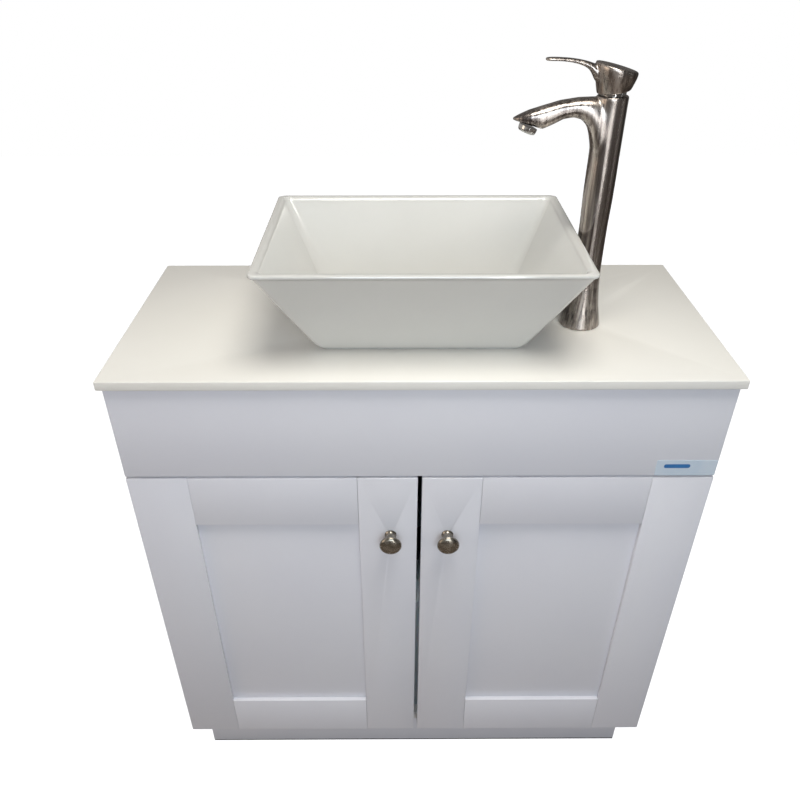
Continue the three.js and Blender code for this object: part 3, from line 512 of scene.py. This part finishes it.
def brushed(name, light, dark, stretch, scale, rough, bump):
    """A brushed metal whose scratches run where the stretch is small. With long strong bands, as on
    the tap, its streaks are also painted reflection.
    """
    material = bpy.data.materials.new(name)
    material.use_nodes = True
    nodes = material.node_tree.nodes
    links = material.node_tree.links
    shader = nodes["Principled BSDF"]
    shader.inputs["Metallic"].default_value = 1.0
    lines = nodes.new("ShaderNodeGroup")
    lines.node_tree = brushed_and_sheen_group
    lines.inputs["Light Colour"].default_value = (*light, 1)
    lines.inputs["Dark Colour"].default_value = (*dark, 1)
    lines.inputs["Stretch"].default_value = stretch
    lines.inputs["Scale"].default_value = scale
    lines.inputs["Least Roughness"].default_value = rough[0]
    lines.inputs["Most Roughness"].default_value = rough[1]
    bump_node = nodes.new("ShaderNodeBump")
    bump_node.inputs["Strength"].default_value = bump
    bump_node.inputs["Distance"].default_value = 0.0001
    links.new(lines.outputs["Height"], bump_node.inputs["Height"])
    links.new(lines.outputs["Colour"], shader.inputs["Base Color"])
    links.new(lines.outputs["Roughness"], shader.inputs["Roughness"])
    links.new(bump_node.outputs["Normal"], shader.inputs["Normal"])
    return material


def turned_piece(name, profile, origin, axis="Z", steps=64, ribs=None):
    """A solid of revolution. Profile points are (radius, height), from the axis back to the axis
    or round a closed loop. ribs is (count, depth, smallest radius that is ribbed)."""
    builder = bmesh.new()
    loop = profile[0] == profile[-1]
    points = profile[:-1] if loop else profile
    turn = {"Z": Matrix.Identity(3), "-Y": Matrix.Rotation(math.pi / 2, 3, "X"),
            "+X": Matrix.Rotation(math.pi / 2, 3, "Y"), "-X": Matrix.Rotation(-math.pi / 2, 3, "Y")}
    rings = []
    for radius, height in points:
        if radius == 0:
            rings.append([builder.verts.new(Vector(origin) + turn[axis] @ Vector((0, 0, height)))])
            continue
        ring = []
        for i in range(steps):
            reach = radius
            if ribs and radius >= ribs[2] and (i * ribs[0] * 2 // steps) % 2:
                reach -= ribs[1]
            angle = 2 * math.pi * i / steps
            point = Vector((reach * math.cos(angle), reach * math.sin(angle), height))
            ring.append(builder.verts.new(Vector(origin) + turn[axis] @ point))
        rings.append(ring)
    pairs = list(zip(rings, rings[1:] + ([rings[0]] if loop else [])))
    for low, high in pairs if loop else pairs[:len(rings) - 1]:
        for i in range(steps):
            j = (i + 1) % steps
            corners = [low[i % len(low)], low[j % len(low)],
                       high[j % len(high)], high[i % len(high)]]
            kept = list(dict.fromkeys(corners))
            if len(kept) > 2:
                builder.faces.new(kept)
    return new_piece(name, builder)


zinc_material = brushed("zinc_plate", (0.62, 0.62, 0.60), (0.42, 0.42, 0.40), (1, 1, 1), 260.0,
                        (0.28, 0.5), 0.1)
for place_name in ("top_left", "top_right", "bottom_left", "bottom_right"):
    finish_piece(eased_copy(f"hinge_{place_name}", 0.0004, 2), zinc_material, "cabinet", "steel",
                 f"hinge_{place_name}")

SCREW_RADIUS = 0.0038
SCREW_RISE = 0.0016
LEAF_THICK = 0.0023
SCREW_SETBACK = 0.012
SCREW_DROPS = (0.010, 0.028)


def screw_profile(radius, rise):
    return [(0, 0), (radius, 0), (radius * 0.96, rise * 0.45), (radius * 0.7, rise * 0.85),
            (radius * 0.34, rise), (radius * 0.3, rise * 0.55), (0, rise * 0.5)]


for side, axis in (("left", "+X"), ("right", "-X")):
    leaf_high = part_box(f"hinge_top_{side}")[1]
    wall_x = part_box(f"{side}_side_panel")[1 if side == "left" else 0].x
    inward = 1 if side == "left" else -1
    for k, drop in enumerate(SCREW_DROPS):
        spot = (wall_x + inward * LEAF_THICK, leaf_high.y - SCREW_SETBACK, leaf_high.z - drop)
        screw = turned_piece(f"hinge_screw_{side}_{k}", screw_profile(SCREW_RADIUS, SCREW_RISE),
                             spot, axis, 20)
        finish_piece(screw, zinc_material, "cabinet", "steel")

# ---- Knobs -------------------------------------------------------------------------------------
# Turned mushroom knobs in satin nickel, each held by a screw through the stile. The rim is polished
# bright and the face is nearly flat. The nickel is painted darker than the bare metal: a painted
# reflection of the dark floor that the face mirrors.

knob_nickel_with_painted_reflection = brushed("satin_nickel_painted_dark", (0.40, 0.37, 0.32), (0.22, 0.20, 0.165), (1, 1, 1), 700.0,
                        (0.2, 0.3), 0.04)
KNOB_RADIUS = 0.015
KNOB_REACH = 0.028
knob_profile = [(0, -0.0223), (0.0042, -0.0223), (0.005, -0.0215), (0.005, -0.0193),
                (0.002, -0.0193), (0.002, 0.0003), (0.0076, 0.0003), (0.0081, 0.0007),
                (0.0081, 0.0014), (0.0070, 0.0025), (0.0060, 0.0042), (0.0056, 0.0075),
                (0.0056, 0.0110), (0.0062, 0.0138), (0.0079, 0.0165), (0.0106, 0.0186),
                (0.0133, 0.0199), (0.0146, 0.0209), (KNOB_RADIUS, 0.0221), (0.0149, 0.0233),
                (0.0143, 0.0243), (0.0128, 0.0256), (0.0121, 0.0260), (0.0096, 0.0269),
                (0.0060, 0.0276), (0.0030, 0.0279), (0, KNOB_REACH)]
for side in ("left", "right"):
    low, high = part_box(f"{side}_knob")
    origin = ((low.x + high.x) / 2, low.y + KNOB_REACH, (low.z + high.z) / 2)
    finish_piece(turned_piece(f"{side}_knob_turned", knob_profile, origin, "-Y", 72),
                 knob_nickel_with_painted_reflection, f"{side}_door", "brushed_nickel", f"{side}_knob")

# ---- Basin -------------------------------------------------------------------------------------
# A slip-cast rectangular vessel with flat flaring walls, fired with a thick gloss glaze that
# rounds the rim and fills the inside corners. A bead of clear silicone seats it on the slab.

basin_low, basin_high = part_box("basin")
FOOT = (0.263, 0.163)
RIM = (basin_high.x - basin_low.x, basin_high.y - basin_low.y)
BASIN_HEIGHT = basin_high.z - basin_low.z
BASIN_MIDDLE = Vector(((basin_low.x + basin_high.x) / 2, (basin_low.y + basin_high.y) / 2, 0))


def basin_ring(builder, share, height, inset, corner, steps=8):
    """A rounded rectangle of the basin at a share of its flare, moved in by an inset."""
    width = FOOT[0] + (RIM[0] - FOOT[0]) * share - 2 * inset
    depth = FOOT[1] + (RIM[1] - FOOT[1]) * share - 2 * inset
    ring = []
    for quarter in range(4):
        sx = 1 if quarter in (0, 3) else -1
        sy = 1 if quarter in (0, 1) else -1
        for step in range(steps + 1):
            angle = math.radians(90 * quarter + 90 * step / steps)
            point = Vector((sx * (width / 2 - corner) + corner * math.cos(angle),
                            sy * (depth / 2 - corner) + corner * math.sin(angle),
                            basin_low.z + height))
            ring.append(builder.verts.new(BASIN_MIDDLE + point))
    return ring


def bridge_rings(builder, rings):
    for low, high in zip(rings, rings[1:]):
        for i in range(len(low)):
            j = (i + 1) % len(low)
            builder.faces.new((low[i], low[j], high[j], high[i]))


DRAIN_HOLE = 0.022
builder = bmesh.new()
top = BASIN_HEIGHT
wall = 0.0101  # the wall's thickness measured level, across its flare
outside = [
    (0.0, 0.0, 0.0105, 0.005), (0.0, 0.0004, 0.0062, 0.008), (0.0, 0.0016, 0.0028, 0.010),
    (0.010, 0.0036, 0.0010, 0.011), (0.035, 0.0066, 0.0002, 0.011), (0.08, 0.0110, 0.0, 0.011),
    (0.5, 0.0625, 0.0, 0.010), (0.93, top - 0.0085, 0.0, 0.009),
    (0.958, top - 0.0058, 0.0, 0.009), (0.975, top - 0.0048, 0.0, 0.009),
    (0.992, top - 0.0042, 0.0, 0.009), (1.0, top - 0.0034, 0.0, 0.009),
    (1.0, top - 0.0018, 0.0, 0.009), (1.0, top - 0.0007, 0.0006, 0.0088),
    (1.0, top - 0.0001, 0.0020, 0.0085), (1.0, top, 0.0036, 0.008)]
inside = [
    (1.0, top - 0.0001, wall - 0.0032, 0.008), (1.0, top - 0.0006, wall - 0.0014, 0.008),
    (0.995, top - 0.0013, wall - 0.0004, 0.008), (0.982, top - 0.00225, wall, 0.0085),
    (0.965, top - 0.0044, wall, 0.009), (0.93, top - 0.00875, wall, 0.010),
    (0.5, 0.0625, wall, 0.014), (0.2, 0.025, wall, 0.018),
    (0.13, 0.0165, wall + 0.0006, 0.019), (0.09, 0.0128, wall + 0.003, 0.020),
    (0.07, 0.0106, wall + 0.008, 0.021), (0.06, 0.0098, wall + 0.016, 0.021),
    (0.05, 0.0094, wall + 0.027, 0.021)]
rings = [basin_ring(builder, share, height, inset, corner)
         for share, height, inset, corner in outside + inside]
bridge_rings(builder, rings)


def drain_ring(builder, radius, height):
    """A circle round the drain whose points face those of the basin's rings."""
    ring = []
    half = FOOT[0] / 2 - 0.03, FOOT[1] / 2 - 0.03
    for vert in rings[-1]:
        offset = vert.co - BASIN_MIDDLE
        angle = math.atan2(offset.y / half[1], offset.x / half[0])
        point = Vector((radius * math.cos(angle), radius * math.sin(angle), basin_low.z + height))
        ring.append(builder.verts.new(BASIN_MIDDLE + point))
    return ring


floor_rings = [drain_ring(builder, radius, height) for radius, height in (
    (0.040, 0.0091), (0.033, 0.0090), (DRAIN_HOLE + 0.001, 0.0090), (DRAIN_HOLE, 0.0082),
    (DRAIN_HOLE, 0.0008), (DRAIN_HOLE + 0.001, 0.0))]
bridge_rings(builder, [rings[-1]] + floor_rings)
bridge_rings(builder, [floor_rings[-1], rings[0]])
basin = new_piece("basin_glazed", builder)
glaze_material = mottled("white_glaze", (0.69, 0.685, 0.655), (0.665, 0.66, 0.63), 7.0, 60.0,
                         (0.05, 0.1), 0.02, Coat_Weight=0.6, Coat_Roughness=0.03,
                         Specular_IOR_Level=0.6)
finish_piece(basin, glaze_material, "cabinet", "ceramic", "basin")

silicone_material = mottled("clear_silicone", (0.62, 0.61, 0.58), (0.56, 0.55, 0.52), 60.0, 400.0,
                            (0.15, 0.3), 0.1)
builder = bmesh.new()
bead = [basin_ring(builder, 0.0, height, inset, 0.009) for height, inset in (
    (-0.0003, 0.0045), (0.0004, 0.0052), (0.0006, 0.0072), (-0.0003, 0.0090))]
bridge_rings(builder, bead + [bead[0]])
finish_piece(new_piece("silicone_bead", builder), silicone_material, "cabinet", "rubber")

# ---- Drain -------------------------------------------------------------------------------------
# A bright flanged waste with a domed press-down stopper. Below the slab a white plastic nut
# clamps it, and a slip nut holds the tailpiece.

bright_material = brushed("bright_steel", (0.72, 0.72, 0.71), (0.56, 0.56, 0.55), (1, 1, 1), 500.0,
                          (0.1, 0.2), 0.02)
drain_origin = BASIN_MIDDLE + Vector((0, 0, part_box("drain_body")[1].z - 0.003))
finish_piece(turned_piece("drain_flange", [
    (0.016, -0.076), (0.020, -0.076), (0.020, 0), (0.0306, 0), (0.031, 0.0005), (0.0309, 0.0012),
    (0.0300, 0.0022), (0.0285, 0.0028), (0.0262, 0.003), (0.0175, 0.003), (0.0164, 0.0026),
    (0.016, 0.0018), (0.016, -0.076)], drain_origin), bright_material, "cabinet", "steel",
    "drain_body")
finish_piece(turned_piece("stopper_cap", [
    (0, -0.038), (0.0042, -0.038), (0.0045, -0.0376), (0.0045, 0.0033), (0.0246, 0.0033),
    (0.025, 0.0037), (0.025, 0.0048), (0.0246, 0.0056), (0.0232, 0.0066), (0.0200, 0.0076),
    (0.0150, 0.0086), (0.0090, 0.0093), (0.0040, 0.00948), (0, 0.0095)], drain_origin),
    bright_material, "stopper", "steel", "drain_stopper")
white_moulding = mottled("white_moulding", (0.76, 0.76, 0.74), (0.72, 0.72, 0.70), 20.0, 700.0,
                         (0.35, 0.5), 0.08)
for node, radius in (("drain_nut", 0.0006), ("tailpiece", 0.0005)):
    finish_piece(eased_copy(node, radius, 2), white_moulding, "cabinet", "white_plastic", node)

# ---- Tap body ----------------------------------------------------------------------------------
# A brass casting with a brushed nickel plate. The column flares at its foot and sweeps forward
# into a flattened spout, whose end is cut off at a slant round the aerator.

dome_low, dome_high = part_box("tap_dome")
TAP_FOOT = Vector(((dome_low.x + dome_high.x) / 2, (dome_low.y + dome_high.y) / 2,
                   counter_high.z))
MM = 0.001
column_profile = [
    (0, 0.3), (26.6, 0.3), (27.0, 0.8), (26.9, 2.0), (26.3, 5), (24.4, 15), (21.8, 28),
    (20.1, 40), (18.6, 55), (17.7, 70), (17.25, 90), (17.05, 112), (17.1, 135), (17.5, 150),
    (17.9, 164), (18, 180), (18, 279.4), (17.6, 280.5), (16.8, 281), (13.6, 281),
    (13.4, 280.4), (13.4, 278), (0, 278)]
spout_top = [(0, 279.3), (-20, 279.3), (-37.4, 278.6), (-57.9, 275.6), (-77.2, 270.2),
             (-92.1, 265.6), (-104.6, 260.4), (-111.3, 257.4)]
spout_under = [(0, 206), (-14, 212), (-18, 228), (-21, 240), (-25.4, 249), (-33, 256),
               (-42.6, 258.4), (-54.1, 256.4), (-65.4, 250.6), (-76.9, 245.6), (-81.1, 246.7),
               (-104.3, 253.4), (-111.3, 255.4)]
spout_half_width = [(0, 17.4), (-12, 17.0), (-22, 15.8), (-34, 14.2), (-46, 13.1), (-60, 12.5),
                    (-80, 12.5), (-92, 11.8), (-100, 9.6), (-107, 5.6), (-111.3, 1.6)]


def along(points, x):
    """The value at x of a broken line whose x falls from point to point."""
    for (x0, y0), (x1, y1) in zip(points, points[1:]):
        if x >= x1:
            return y0 + (y1 - y0) * (x0 - x) / (x0 - x1)
    return points[-1][1]


def squared_loop(builder, x, low, high, half, power=2.6, steps=32):
    """A superellipse across the spout at x."""
    loop = []
    for i in range(steps):
        angle = 2 * math.pi * i / steps
        c, s = math.cos(angle), math.sin(angle)
        y = half * math.copysign(abs(c) ** (2 / power), c)
        z = (low + high) / 2 + (high - low) / 2 * math.copysign(abs(s) ** (2 / power), s)
        loop.append(builder.verts.new(TAP_FOOT + Vector((x, y, z)) * MM))
    return loop


def lofted_piece(name, loops, builder):
    bridge_rings(builder, loops)
    builder.faces.new(loops[0])
    builder.faces.new(loops[-1])
    return new_piece(name, builder)


MELT_ROUNDS = 90


def cast_together(name, pieces, voxel, relax, soft_zone=None):
    """Fuses overlapping closed pieces into one skin. soft_zone(point) gives 0 to 1: how much an
    inner corner there is rounded out."""
    whole = bmesh.new()
    for piece in pieces:
        whole.from_mesh(piece.data)
        bpy.data.objects.remove(piece)
    fused = new_piece(name, whole)
    remesh = fused.modifiers.new("skin", "REMESH")
    remesh.mode = "VOXEL"
    remesh.voxel_size = voxel
    apply_modifiers(fused)
    smooth = fused.modifiers.new("relax", "SMOOTH")
    smooth.factor = 0.5
    smooth.iterations = relax
    apply_modifiers(fused)
    if soft_zone:
        zone = fused.vertex_groups.new(name="soft_zone")
        for vert in fused.data.vertices:
            weight = soft_zone((vert.co - TAP_FOOT) / MM)
            if weight > 0:
                zone.add([vert.index], weight, "REPLACE")
        melt = fused.modifiers.new("melt", "SMOOTH")
        melt.factor = 0.5
        melt.iterations = MELT_ROUNDS
        melt.vertex_group = "soft_zone"
        apply_modifiers(fused)
    fused.data.polygons.foreach_set("use_smooth", [True] * len(fused.data.polygons))
    return fused


column = turned_piece("tap_column", [(r * MM, z * MM) for r, z in column_profile], TAP_FOOT,
                      steps=96)
builder = bmesh.new()
stations = [-2.0 * k for k in range(55)] + [-109.6, -110.8]
loops = [squared_loop(builder, x, along(spout_under, x), along(spout_top, x),
                      along(spout_half_width, x)) for x in stations]
spout = lofted_piece("tap_spout", loops, builder)


def branch_zone(point):
    """Full where the spout leaves the column, and fading out round it."""
    below_top = min(1, max(0, (278 - point.z) / 8))
    near_column = min(1, max(0, (point.x + 40) / 14))
    above_stem = min(1, max(0, (point.z - 196) / 14))
    return below_top * near_column * above_stem


tap_body = cast_together("tap_casting", [column, spout], 0.0009, 6, branch_zone)
# The nickel's stretched light and dark streaks are partly the brushing and partly painted
# reflection: broad vertical bands that stand for the dim room mirrored in the column.
nickel_with_painted_reflection = brushed("brushed_nickel", (0.57, 0.515, 0.47), (0.16, 0.14, 0.133),
                          (1, 1, 0.012), 300.0, (0.2, 0.32), 0.03)
finish_piece(tap_body, nickel_with_painted_reflection, "cabinet", "brushed_nickel", "tap_body")

# ---- Aerator -----------------------------------------------------------------------------------
# A short bright screw-in ring under the end of the spout, with a fine plastic screen.

AERATOR_SEAT = (-94.6, 0, 242)
AERATOR_TILT = math.radians(20)
aerator_profile = [(0, 0.6), (8.2, 0.6), (8.4, 0), (9.2, 0), (9.6, 0.3), (10.4, 1.4),
                   (10.8, 3.4), (11.0, 6.6), (0, 6.6)]
aerator = turned_piece("aerator_ring", [(r * MM, z * MM) for r, z in aerator_profile],
                       (0, 0, 0), steps=64)
aerator.data.transform(Matrix.Translation(TAP_FOOT + Vector(AERATOR_SEAT) * MM)
                       @ Matrix.Rotation(AERATOR_TILT, 4, "Y"))
finish_piece(aerator, bright_material, "cabinet", "steel", "tap_aerator")

# ---- Tap lever ---------------------------------------------------------------------------------
# A flared cup over a dome, cast in one with a slim lever that points over the spout. The cup's
# top slopes down to the right.

CUP_TOP_SLOPE = math.tan(math.radians(13))
CUP_BASE_SLOPE = math.tan(math.radians(7.5))
CUP_TOP = 310.4
CUP_BASE = 284.9


def cup_ring(builder, radius, share=None, height=None, steps=72):
    """A ring of the cup: at a share of the way from its base plane to its top plane, or level."""
    ring = []
    for i in range(steps):
        angle = 2 * math.pi * i / steps
        x, y = radius * math.cos(angle), radius * math.sin(angle)
        if height is None:
            low = CUP_BASE + CUP_BASE_SLOPE * x
            high = CUP_TOP - CUP_TOP_SLOPE * x
            z = low + share * (high - low)
        else:
            z = height
        ring.append(builder.verts.new(TAP_FOOT + Vector((x, y, z)) * MM))
    return ring


builder = bmesh.new()
wall_rings = [(16.2, 0.02), (17.6, 0.0), (18.6, 0.02), (19.6, 0.12), (21.0, 0.30), (22.4, 0.50),
              (23.5, 0.70), (24.0, 0.86), (24.0, 0.94), (23.4, 0.985), (22.4, 1.0), (12.0, 1.01),
              (4.0, 1.012)]
rings = [cup_ring(builder, 4.0, height=299), cup_ring(builder, 16.0, height=299)]
rings += [cup_ring(builder, radius, share) for radius, share in wall_rings]
cup = lofted_piece("lever_cup", rings, builder)
lever_line = [(-6, 302.5, 7.5, 9.5), (-16, 302.5, 9.0, 10.0), (-21.5, 303.2, 9.2, 9.6),
              (-24.5, 305.6, 7.4, 9.2), (-27.5, 308.8, 5.2, 8.6), (-31.5, 311.6, 3.6, 8.0),
              (-38, 314.0, 2.7, 7.3), (-47, 316.0, 2.2, 6.8), (-57, 317.2, 1.9, 6.6),
              (-67, 317.7, 1.8, 6.8), (-74, 317.7, 1.9, 6.9), (-78.5, 317.6, 1.7, 5.8),
              (-80.1, 317.6, 1.0, 3.8)]
builder = bmesh.new()
loops = [squared_loop(builder, x, z - thick, z + thick, half, 2.3)
         for x, z, thick, half in lever_line]
blade = lofted_piece("lever_blade", loops, builder)
subdivide = blade.modifiers.new("round", "SUBSURF")
subdivide.levels = 2
subdivide.render_levels = 2
apply_modifiers(blade)
lever = cast_together("lever_casting", [cup, blade], 0.0007, 5)
# The lever wears the same nickel, with its painted reflection streaks.
finish_piece(lever, nickel_with_painted_reflection, "tap_handle", "brushed_nickel", "tap_lever")

DOME_RADIUS = 14.5
DOME_CENTRE = 284
DOME_FOOT = 281.3
start = math.asin((DOME_FOOT - DOME_CENTRE) / DOME_RADIUS)
dome_profile = [(0, DOME_FOOT * MM)]
for k in range(17):
    angle = start + (math.pi / 2 - start) * k / 16
    radius = 0 if k == 16 else DOME_RADIUS * math.cos(angle) * MM
    dome_profile.append((radius, (DOME_CENTRE + DOME_RADIUS * math.sin(angle)) * MM))
finish_piece(turned_piece("tap_dome_turned", dome_profile, TAP_FOOT), bright_material,
             "tap_swivel", "brushed_nickel", "tap_dome")

brass_material = brushed("turned_brass", (0.68, 0.52, 0.26), (0.52, 0.38, 0.17), (0.1, 0.1, 1),
                         900.0, (0.22, 0.36), 0.06)
for node in ("tap_shank", "tap_nut", "outlet_tee"):
    finish_piece(eased_copy(node, 0.0004, 2), brass_material, "cabinet", "brass", node)
finish_piece(eased_copy("tap_cartridge", 0.0004, 2), white_moulding, "cabinet",
             "white_plastic", "tap_cartridge")

# ---- Tanks and caps ----------------------------------------------------------------------------
# Blow-moulded polyethylene: a milky fresh-water tank and a grey waste tank, standing on the
# cabinet's floor. Screw caps with ribbed skirts carry the hoses.

milky_material = mottled("milky_polyethylene", (0.66, 0.70, 0.72), (0.60, 0.64, 0.67), 12.0,
                         260.0, (0.32, 0.46), 0.2, Subsurface_Weight=0.15)
grey_material = mottled("grey_polyethylene", (0.26, 0.275, 0.285), (0.22, 0.235, 0.245), 12.0,
                        260.0, (0.35, 0.5), 0.2)
moulded_black = mottled("black_moulding", (0.022, 0.022, 0.024), (0.032, 0.032, 0.034), 30.0,
                        900.0, (0.42, 0.6), 0.2)
for node, material, slot in (("fresh_tank", milky_material, "fresh_tank_plastic"),
                             ("waste_tank", grey_material, "waste_tank_plastic")):
    finish_piece(eased_copy(node, 0.003, 3), material, "cabinet", slot, node)

CAP_RADIUS = 0.034
CAP_HEIGHT = 0.022
CAP_BORE_RADIUS = 0.0293
CAP_ROOF = CAP_HEIGHT - 0.003
for node, body, bore, spigot in (("waste_cap", "waste_tank_cap", 0.0127, 0.020),
                                 ("fresh_cap", "fresh_tank_cap", 0.0063, 0.006)):
    low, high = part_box(node)
    origin = ((low.x + high.x) / 2, (low.y + high.y) / 2, low.z)
    finish_piece(turned_piece(f"{node}_ribbed", [
        (CAP_BORE_RADIUS, 0), (CAP_RADIUS, 0), (CAP_RADIUS, 0.004),
        (CAP_RADIUS, CAP_HEIGHT - 0.0025),
        (CAP_RADIUS - 0.001, CAP_HEIGHT - 0.0007), (CAP_RADIUS - 0.0025, CAP_HEIGHT),
        (bore + 0.003, CAP_HEIGHT), (bore + 0.003, CAP_HEIGHT + spigot - 0.0006),
        (bore + 0.0024, CAP_HEIGHT + spigot), (bore, CAP_HEIGHT + spigot), (bore, CAP_ROOF),
        (CAP_BORE_RADIUS, CAP_ROOF), (CAP_BORE_RADIUS, 0)], origin, steps=144,
        ribs=(36, 0.0008, CAP_RADIUS)),
        moulded_black, body, "black_plastic", node)

# ---- Pump, strainer and tee --------------------------------------------------------------------
# A small diaphragm pump: a black head, held by four screws, on a bright motor can that is
# bracketed to the back panel, with a clear strainer on its inlet.

can_material = brushed("motor_can", (0.55, 0.55, 0.56), (0.36, 0.36, 0.37), (1, 1, 1), 220.0,
                       (0.25, 0.42), 0.08)
strainer_material = mottled("clear_strainer", (0.50, 0.55, 0.57), (0.42, 0.48, 0.50), 40.0,
                            300.0, (0.1, 0.2), 0.05)
finish_piece(eased_copy("pump_head", 0.004, 4), moulded_black, "cabinet", "black_plastic",
             "pump_head")
finish_piece(eased_copy("pump_motor", 0.0012, 3), can_material, "cabinet", "steel", "pump_motor")
finish_piece(eased_copy("inlet_strainer", 0.0008, 2), strainer_material, "cabinet", "clear_hose",
             "inlet_strainer")
HEAD_SCREW_OFFSET = 0.021
head_low, head_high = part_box("pump_head")
head_middle = (head_low + head_high) / 2
for k, (dx, dz) in enumerate(((-1, -1), (-1, 1), (1, -1), (1, 1))):
    spot = (head_middle.x + dx * HEAD_SCREW_OFFSET, head_low.y,
            head_middle.z + dz * HEAD_SCREW_OFFSET)
    finish_piece(turned_piece(f"pump_head_screw_{k}", screw_profile(0.0032, 0.0014), spot, "-Y",
                              20), zinc_material, "cabinet", "steel")

# ---- Water heater ------------------------------------------------------------------------------
# A small white point-of-use heater with two ports on its top and a black dial on its front.

enamel_material = mottled("white_enamel", (0.76, 0.77, 0.77), (0.72, 0.73, 0.73), 10.0, 500.0,
                          (0.22, 0.32), 0.08)
finish_piece(eased_copy("water_heater", 0.002, 3), enamel_material, "cabinet", "white_plastic",
             "water_heater")
finish_piece(eased_copy("thermostat_knob", 0.0006, 2), moulded_black, "thermostat",
             "black_plastic", "thermostat_knob")
dial_low, dial_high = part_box("thermostat_knob")
heater_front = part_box("water_heater")[0].y
TICKS = 10
TICK_SWEEP = math.radians(270)
TICK_RADIUS = 0.0215
TICK_HALF = (0.0005, 0.00015, 0.0022)
builder = bmesh.new()
for k in range(TICKS):
    angle = -math.pi / 2 - TICK_SWEEP / 2 + math.pi + TICK_SWEEP * k / (TICKS - 1)
    turn = Matrix.Rotation(angle, 4, "Y")
    centre = Vector(((dial_low.x + dial_high.x) / 2, heater_front - 0.0001,
                     (dial_low.z + dial_high.z) / 2))
    bmesh.ops.create_cube(builder, size=2, matrix=Matrix.Translation(centre) @ turn
                          @ Matrix.Translation((0, 0, TICK_RADIUS))
                          @ Matrix.Diagonal((*TICK_HALF, 1)))
finish_piece(new_piece("dial_ticks", builder), moulded_black, "cabinet", "black_plastic")

# ---- Hoses -------------------------------------------------------------------------------------
# Milky tube from the fresh tank to the pump and from the drain to the waste tank, and stainless
# braid on the pressure side. Each is pushed into or onto a fitting at both ends.

tube_material = mottled("milky_tube", (0.60, 0.63, 0.64), (0.54, 0.57, 0.58), 30.0, 500.0,
                        (0.2, 0.34), 0.1)


BRAID_WAVES = 260.0
BRAID_RELIEF = 0.0004


def make_braid():
    material = brushed("steel_braid", (0.62, 0.62, 0.61), (0.20, 0.20, 0.20), (1, 1, 1), 1500.0,
                       (0.25, 0.45), 0.1)
    nodes = material.node_tree.nodes
    links = material.node_tree.links
    place = nodes.new("ShaderNodeTexCoord")
    heights = []
    for slant in (1, -1):
        turn = nodes.new("ShaderNodeMapping")
        turn.inputs["Rotation"].default_value = (0, 0, math.radians(45 * slant))
        wave = nodes.new("ShaderNodeTexWave")
        wave.inputs["Scale"].default_value = BRAID_WAVES
        wave.bands_direction = "DIAGONAL"
        links.new(place.outputs["Object"], turn.inputs["Vector"])
        links.new(turn.outputs["Vector"], wave.inputs["Vector"])
        heights.append(wave.outputs["Fac"])
    weave = nodes.new("ShaderNodeMath")
    weave.operation = "MAXIMUM"
    links.new(heights[0], weave.inputs[0])
    links.new(heights[1], weave.inputs[1])
    bump = nodes["Bump"]
    bump.inputs["Strength"].default_value = 0.6
    bump.inputs["Distance"].default_value = BRAID_RELIEF
    links.new(weave.outputs[0], bump.inputs["Height"])
    return material


def rounded_hose(node):
    """The node's tube, subdivided until it is round, with its ends kept square."""
    builder = bmesh.new()
    builder.from_mesh(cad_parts[node].data)
    bmesh.ops.remove_doubles(builder, verts=builder.verts, dist=WELD)
    bmesh.ops.join_triangles(builder, faces=builder.faces, cmp_seam=False, cmp_sharp=False,
                             angle_face_threshold=math.radians(50),
                             angle_shape_threshold=math.radians(180))
    crease = builder.edges.layers.float.new("crease_edge")
    for edge in builder.edges:
        if len(edge.link_faces) == 2 and edge.calc_face_angle() > math.radians(60):
            edge[crease] = 1.0
    piece = new_piece(node + "_round", builder)
    subdivide = piece.modifiers.new("round", "SUBSURF")
    subdivide.levels = 2
    subdivide.render_levels = 2
    apply_modifiers(piece)
    piece.data.set_sharp_from_angle(angle=math.radians(45))
    return piece


braid_material = make_braid()
for node in ("cold_supply_hose", "hot_supply_hose", "heater_feed_hose"):
    finish_piece(rounded_hose(node), braid_material, "cabinet", "braided_steel", node)
for node in ("suction_hose", "drain_hose"):
    finish_piece(rounded_hose(node), tube_material, "cabinet", "clear_hose", node)

# ---- Power inlet and switch --------------------------------------------------------------------
# A moulded inlet socket and a rocker switch, snapped into the lower right of the back panel.

for node in ("power_inlet", "switch_frame"):
    finish_piece(eased_copy(node, 0.0005, 2), moulded_black, "cabinet", "black_plastic", node)
finish_piece(eased_copy("switch_rocker", 0.0004, 2), moulded_black, "rocker", "black_plastic",
             "switch_rocker")

# ---- Glides and painted shadow strip -----------------------------------------------------------
# Four black nail-on glides keep the plinth just off the floor. A dark strip under the toe kick is
# painted shadow: black set in that gap to stand for the shade beneath the plinth.

# Black rubber for the glides, and for the painted shadow strip below.
foot_and_shadow_material = mottled("black_rubber_and_shadow", (0.03, 0.03, 0.03), (0.045, 0.045, 0.045), 50.0, 800.0,
                        (0.7, 0.9), 0.3)
for end in ("front", "rear"):
    for side in ("left", "right"):
        node = f"glide_{end}_{side}"
        finish_piece(eased_copy(node, 0.0004, 2), foot_and_shadow_material, "cabinet", "rubber", node)

# The strip is painted shadow: a black band where only the shade under the toe kick falls.
STRIP_WIDTH = 0.010
STRIP_SETBACK = 0.0005
STRIP_PLAY = 0.0002
kick_low, kick_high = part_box("toe_kick")
strip_low = Vector((kick_low.x, kick_low.y + STRIP_SETBACK, STRIP_PLAY))
strip_high = Vector((kick_high.x, kick_low.y + STRIP_SETBACK + STRIP_WIDTH,
                     kick_low.z - STRIP_PLAY))
builder = bmesh.new()
bmesh.ops.create_cube(builder, size=1, matrix=Matrix.Translation((strip_low + strip_high) / 2)
                      @ Matrix.Diagonal((*(strip_high - strip_low), 1)))
bmesh.ops.bevel(builder, geom=builder.edges[:], offset=0.0004, segments=2, affect="EDGES")
finish_piece(new_piece("plinth_shadow_strip", builder), foot_and_shadow_material, "cabinet", "rubber")
